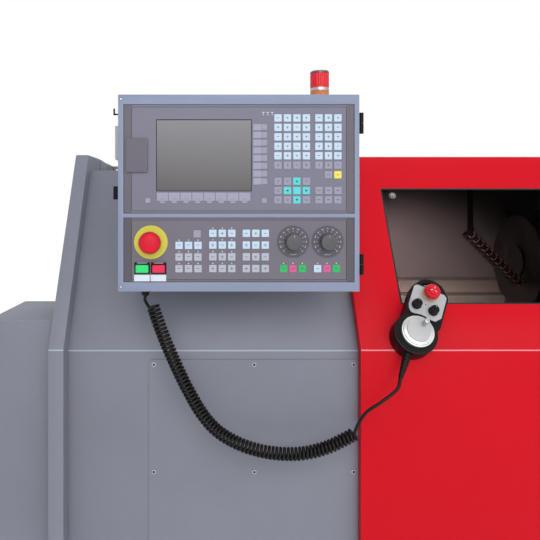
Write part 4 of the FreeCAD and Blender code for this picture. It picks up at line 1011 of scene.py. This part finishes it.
# Selector knobs: black mouldings with a pointer bar, pushed on to short stems. The stop button is a
# red mushroom on a black stem, with three white lines printed on its crown.
STEM_AND_SKIRT = [(0, 38.6), (4, 38.6), (4, 42), (9.5, 42), (9.5, 43.2), (9, 43.6), (0, 43.6)]
FLUTED_GRIP = ((8.9, 43.4, 1), (8.7, 52.6, 1), (8.3, 54.2, 0.5), (7.4, 55, 0))
for node, x in PENDANT_KNOBS:
    bm = bmesh.new()
    turned(bm, STEM_AND_SKIRT, (x, PENDANT_KNOB_Y, 0), 36)
    fluted(bm, FLUTED_GRIP, (x, PENDANT_KNOB_Y), 16, 0.7, 64)
    pad(bm, x - 1.4, 46.6, 2.8, 15.6, 54.6, 58.2, 0.6, 0.5)
    stroke(bm, x, 58, x, 61.4, 0.6, 58.1, 58.4, 1)
    knob = as_piece(node + "_piece", bm, [black_plastic, print_white], node, PENDANT)
    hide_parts(node)
PENDANT_STOP = (4, 87.5, 0)
SMALL_STEM = [(0, 38.6), (7.2, 38.6), (7.2, 49), (9.5, 50), (9.5, 51)]
SMALL_SKIRT = [(9.5, 51), (14.4, 51), (15, 52), (15, 55.6), (14.4, 58), (13, 59.6), (11.6, 60.4)]
SMALL_CROWN = [(10.4, 60.2), (9.4, 63.2), (7.4, 64.6), (4, 65), (0, 65)]
bm = bmesh.new()
turned(bm, SMALL_STEM, PENDANT_STOP, 36, 1)
turned(bm, SMALL_SKIRT + SMALL_CROWN, PENDANT_STOP, 48)
for number in range(3):
    angle = math.radians(90 + 120 * number)
    ray(bm, *PENDANT_STOP[:2], angle, 3, 6.4, 1, 64.6, 65.1, 2)
pendant_stop = as_piece(
    "pendant_stop_piece",
    bm,
    [stop_finish, black_plastic, print_white],
    "pendant_stop",
    PENDANT,
    crease=40,
)
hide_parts("pendant_estop")

# Strain relief: a ribbed rubber boot that tapers to the cord, moulded on it and clamped in the
# pendant's shell.
cord_jacket = finish(
    "cord_jacket", (0.006, 0.0045, 0.004), 0.36, grain=500, edge_scuff_highlight=(0.03, 0.03, 0.03), scuff_highlight_amount=0.2, shine=0.16
)
boot_profile = [(0, 0), (8.6, 0), (8.6, 2.5), (8.1, 4.6)]
for rib in range(8):
    radius = 8 - 0.42 * rib
    height = 5.4 + 5.2 * rib
    boot_profile += [
        (radius - 1.5, height),
        (radius, height + 0.6),
        (radius - 0.1, height + 2.9),
        (radius - 1.5, height + 3.6),
    ]
boot_profile += [(4.2, 48), (3.8, 50), (3.2, 50)]
bm = bmesh.new()
turned(bm, boot_profile, (-1, -39.8, 20), 32, turn=TO_FRONT)
boot = as_piece("pendant_boot_piece", bm, cord_jacket, "door", PENDANT)
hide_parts("pendant_boot")

# ---- Curly cord ----
# Coiled cord in a black rubber jacket, from the gland under the console to the pendant's boot: a
# short lead, 73 curls on a hanging bow and a straight tail, all in one length. CURL_LINE is the bow.
CURL_LINE = [
    (-0.703, -0.582, 1.291),
    (-0.692, -0.582, 1.258),
    (-0.6794, -0.582, 1.225),
    (-0.656, -0.581, 1.171),
    (-0.6325, -0.580, 1.124),
    (-0.611, -0.579, 1.087),
    (-0.5838, -0.578, 1.055),
    (-0.550, -0.577, 1.034),
    (-0.5169, -0.577, 1.021),
    (-0.480, -0.577, 1.013),
    (-0.4462, -0.577, 1.0105),
    (-0.4126, -0.577, 1.013),
    (-0.379, -0.578, 1.022),
    (-0.3489, -0.579, 1.036),
    (-0.324, -0.580, 1.050),
]
CABLE = 0.003
COIL = 0.0098
CURLS = 73
STEPS = 20
route = bpy.data.curves.new("curl_line", "CURVE")
route.dimensions = "3D"
route.resolution_u = 24
spline = route.splines.new("NURBS")
spline.points.add(len(CURL_LINE) - 1)
for point, spot in zip(spline.points, CURL_LINE):
    point.co = (*spot, 1)
spline.order_u = 3
spline.use_endpoint_u = True
route_object = bpy.data.objects.new("curl_line", route)
scene.collection.objects.link(route_object)
bpy.context.view_layer.update()
line_mesh = bpy.data.meshes.new_from_object(route_object)
line = [vert.co.copy() for vert in line_mesh.vertices]
bpy.data.meshes.remove(line_mesh)
bpy.data.objects.remove(route_object)
along = [0.0]
for a, b in zip(line, line[1:]):
    along.append(along[-1] + (b - a).length)
toward_operator = Vector((0, -1, 0))
helix = []
leg = 0
for step in range(CURLS * STEPS + 1):
    share = along[-1] * step / (CURLS * STEPS)
    while leg < len(line) - 2 and along[leg + 1] < share:
        leg += 1
    here = line[leg].lerp(line[leg + 1], (share - along[leg]) / (along[leg + 1] - along[leg]))
    ahead = (line[leg + 1] - line[leg]).normalized()
    outward = (toward_operator - ahead * toward_operator.dot(ahead)).normalized()
    side = outward.cross(ahead)
    angle = 2 * math.pi * step / STEPS
    helix.append(here + outward * (COIL * math.cos(angle)) + side * (COIL * math.sin(angle)))


def curved(points, steps=10):
    """A smooth line through points, from one to the next."""
    full = [points[0] * 2 - points[1]] + points + [points[-1] * 2 - points[-2]]
    smooth = []
    for earlier, start, end, later in zip(full, full[1:], full[2:], full[3:]):
        leave = start + (end - earlier) / 6
        arrive = end - (later - start) / 6
        smooth += interpolate_bezier(start, leave, arrive, end, steps + 1)[:-1]
    return smooth + [points[-1]]


boot_end = PENDANT @ Vector((-1, -89.8, 20))
boot_inside = PENDANT @ Vector((-1, -82, 20))
boot_ahead = PENDANT @ Vector((-1, -111.8, 20))
gland_mouth = Vector((-0.717, -0.582, 1.3114))
cord_lead = curved(
    [
        gland_mouth + Vector((0, 0, 0.006)),
        gland_mouth,
        Vector((-0.7172, -0.584, 1.302)),
        helix[0] + (helix[0] - helix[1]).normalized() * 0.005,
        helix[0],
    ],
    6,
)
cord_tail = curved(
    [
        helix[-1],
        helix[-1] + (helix[-1] - helix[-2]).normalized() * 0.006,
        Vector((-0.320, -0.594, 1.075)),
        Vector((-0.307, -0.603, 1.100)),
        Vector((-0.282, -0.607, 1.119)),
        boot_ahead,
        boot_end,
        boot_inside,
    ]
)
cord_path = cord_lead[:-1] + helix + cord_tail[1:]
SIDES = 10
bm = bmesh.new()
ring_before = None
across = None
for index, spot in enumerate(cord_path):
    ahead = (cord_path[min(index + 1, len(cord_path) - 1)] - cord_path[max(index - 1, 0)]).normalized()
    if across is None:
        across = ahead.orthogonal().normalized()
    across = (across - ahead * across.dot(ahead)).normalized()
    upward = ahead.cross(across)
    ring = []
    for corner in range(SIDES):
        angle = 2 * math.pi * corner / SIDES
        out = across * math.cos(angle) + upward * math.sin(angle)
        ring.append(bm.verts.new(spot + out * CABLE))
    if ring_before:
        for corner in range(SIDES):
            following = (corner + 1) % SIDES
            bm.faces.new((ring_before[corner], ring_before[following], ring[following], ring[corner]))
    else:
        bm.faces.new(ring[::-1])
    ring_before = ring
bm.faces.new(ring_before)
curly_cord = as_piece("curly_cord_piece", bm, cord_jacket, None, crease=60)
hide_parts("curly_cord")
GLAND_X, GLAND_Y = -717, -582
GLAND_TUBE = [(0, 0), (5.5, 0), (6.6, 1), (7, 2), (7, 6)]
GLAND_NUT = ((9, 1317.4, 0), (10, 1318, 1), (10, 1322.6, 1), (9.6, 1323.3, 0))
bm = bmesh.new()
turned(bm, GLAND_TUBE, (GLAND_X, GLAND_Y, 1311.4), 32)
fluted(bm, GLAND_NUT, (GLAND_X, GLAND_Y), 8, 1.0, 64)
gland = as_piece("cord_gland_piece", bm, black_plastic, "machine", MM)
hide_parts("cord_gland")
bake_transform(curly_cord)

# ---- Work area ----
# Grey painted iron castings with ground steel ways, bolted to the base: bed, headstock, saddle,
# cross slide and tailstock, with the spindle, chuck, turret and screw that turn or slide on them.
iron = finish("iron", (0.22, 0.22, 0.225), 0.5, grain=300, depth=0.25, edge_scuff_highlight=(0.4, 0.4, 0.42))
bright = finish("bright", (0.52, 0.52, 0.53), 0.28, metallic=0.9, depth=0.06)
turret_paint = finish(
    "turret_paint", (0.03, 0.028, 0.03), 0.46, grain=400, depth=0.2, edge_scuff_highlight=(0.3, 0.3, 0.32), shine=0.2
)
tool_steel = finish("tool_steel", (0.045, 0.042, 0.042), 0.4, metallic=0.5, grain=700, depth=0.08)
motor_black = finish("motor_black", (0.03, 0.03, 0.033), 0.5, grain=400, depth=0.2)
for node, paint_one, body, slot_name, width in (
    ("slant_bed", iron, "machine", "bed_iron", 0.002),
    ("headstock", iron, "machine", "bed_iron", 0.003),
    ("spindle_motor", motor_black, "machine", "motor_black", 0.002),
    ("drive_belt", rubber, "machine", "belt_rubber", 0.0005),
    ("spindle", bright, "spindle", "bright_steel", 0.001),
    ("chuck_body", bright, "spindle", "bright_steel", 0.002),
    ("chuck_jaw_1", bright, "jaw_1", "bright_steel", 0.001),
    ("chuck_jaw_2", bright, "jaw_2", "bright_steel", 0.001),
    ("chuck_jaw_3", bright, "jaw_3", "bright_steel", 0.001),
    ("motor_pulley", bright, "motor_pulley", "bright_steel", 0.001),
    ("saddle", iron, "carriage", "bed_iron", 0.002),
    ("z_ball_screw", bright, "z_screw", "bright_steel", 0.001),
    ("cross_slide", iron, "cross_slide", "bed_iron", 0.002),
    ("turret_head", turret_paint, "cross_slide", "turret_paint", 0.004),
    ("turret_disc", tool_steel, "turret", "bright_steel", 0.0015),
    ("tailstock_body", iron, "tailstock", "bed_iron", 0.003),
    ("tailstock_quill", bright, "quill", "bright_steel", 0.001),
    ("live_center", bright, "center", "bright_steel", 0.0008),
    ("coolant_tank", casing_paint, "tank", "casing_grey", 0.0008),
):
    softened(node, paint_one, body, width)

# Cable chain: black nylon links, each with two bright crossbar clips, snapped together. The clips'
# near-white colour is partly their own and partly painted highlight, and the links' near-white edges
# are painted highlight along their outlines. It hangs from a bent steel bracket under the roof and
# runs down towards the carriage, along CHAIN.
chain_start = Vector((163, 20, 1394))
chain_end = Vector((306, 20, 1252))
chain_run = (chain_end - chain_start).normalized()
chain_lean = math.atan2(-chain_run.z, chain_run.x)
CHAIN = MM @ Matrix.Translation(chain_start) @ Matrix.Rotation(chain_lean, 4, "Y") @ TO_FRONT
# Near-white clips: partly their own colour, partly painted highlight.
clip_grey = finish("clip_grey", (0.92, 0.88, 0.88), 0.35, grain=500)
bm = bmesh.new()
LINKS = 12
pitch = (chain_end - chain_start).length / (LINKS - 1)
for link in range(LINKS):
    left = pitch * link
    for near, far in ((-46, -41.5), (-4.5, 0)):
        pad(bm, left, 1, 17.2, 24, near, far, 4, 0.5)
    for low in (2.5, 20):
        pad(bm, left + 4, low, 8, 3.4, -41.6, -4.4, 0.6, 0)
        pad(bm, left + 3.6, low, 8, 2.4, -0.4, 0.9, 0.8, 0.3, 1)
    pad(bm, left + 12.6, 6.4, 1.6, 12.6, -0.4, 0.7, 0.5, 0.2, 1)
    turned(bm, [(2.2, -0.2), (2.2, 0.9), (1.2, 1.2), (0, 1.2)], (left + 6.6, 13, 0), 14)
# Near-white edges at full strength: painted highlight along the links' outlines.
chain_black = finish(
    "chain_black", (0.012, 0.011, 0.012), 0.4, grain=500, depth=0.06, edge_scuff_highlight=(0.85, 0.8, 0.8), scuff_highlight_amount=1.0
)
cable_chain = as_piece("cable_chain_piece", bm, [chain_black, clip_grey], None, CHAIN)
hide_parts("cable_chain")
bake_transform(cable_chain)
bm = bmesh.new()
pad(bm, 165, 1409, 16, 168, -24.5, -21.5, 2, 0.4)
pad(bm, 163, 1398, 20, 24, -21.5, -19.5, 4, 0.4)
as_piece("chain_hanger", bm, motor_black, "machine", MM @ TO_FRONT)

# Work lamp: the work area's own light, fixed under the roof behind the door. It is turned to the
# wall behind the turret.
work_lamp = new_lamp("work_lamp", "SPOT", (-0.14, -0.2, 1.5), (0.1, 0.43, 1.08), 56)
work_lamp.spot_size = math.radians(74)
work_lamp.spot_blend = 1
work_lamp.shadow_soft_size = 0.05
work_lamp.color = (1.0, 0.91, 0.83)
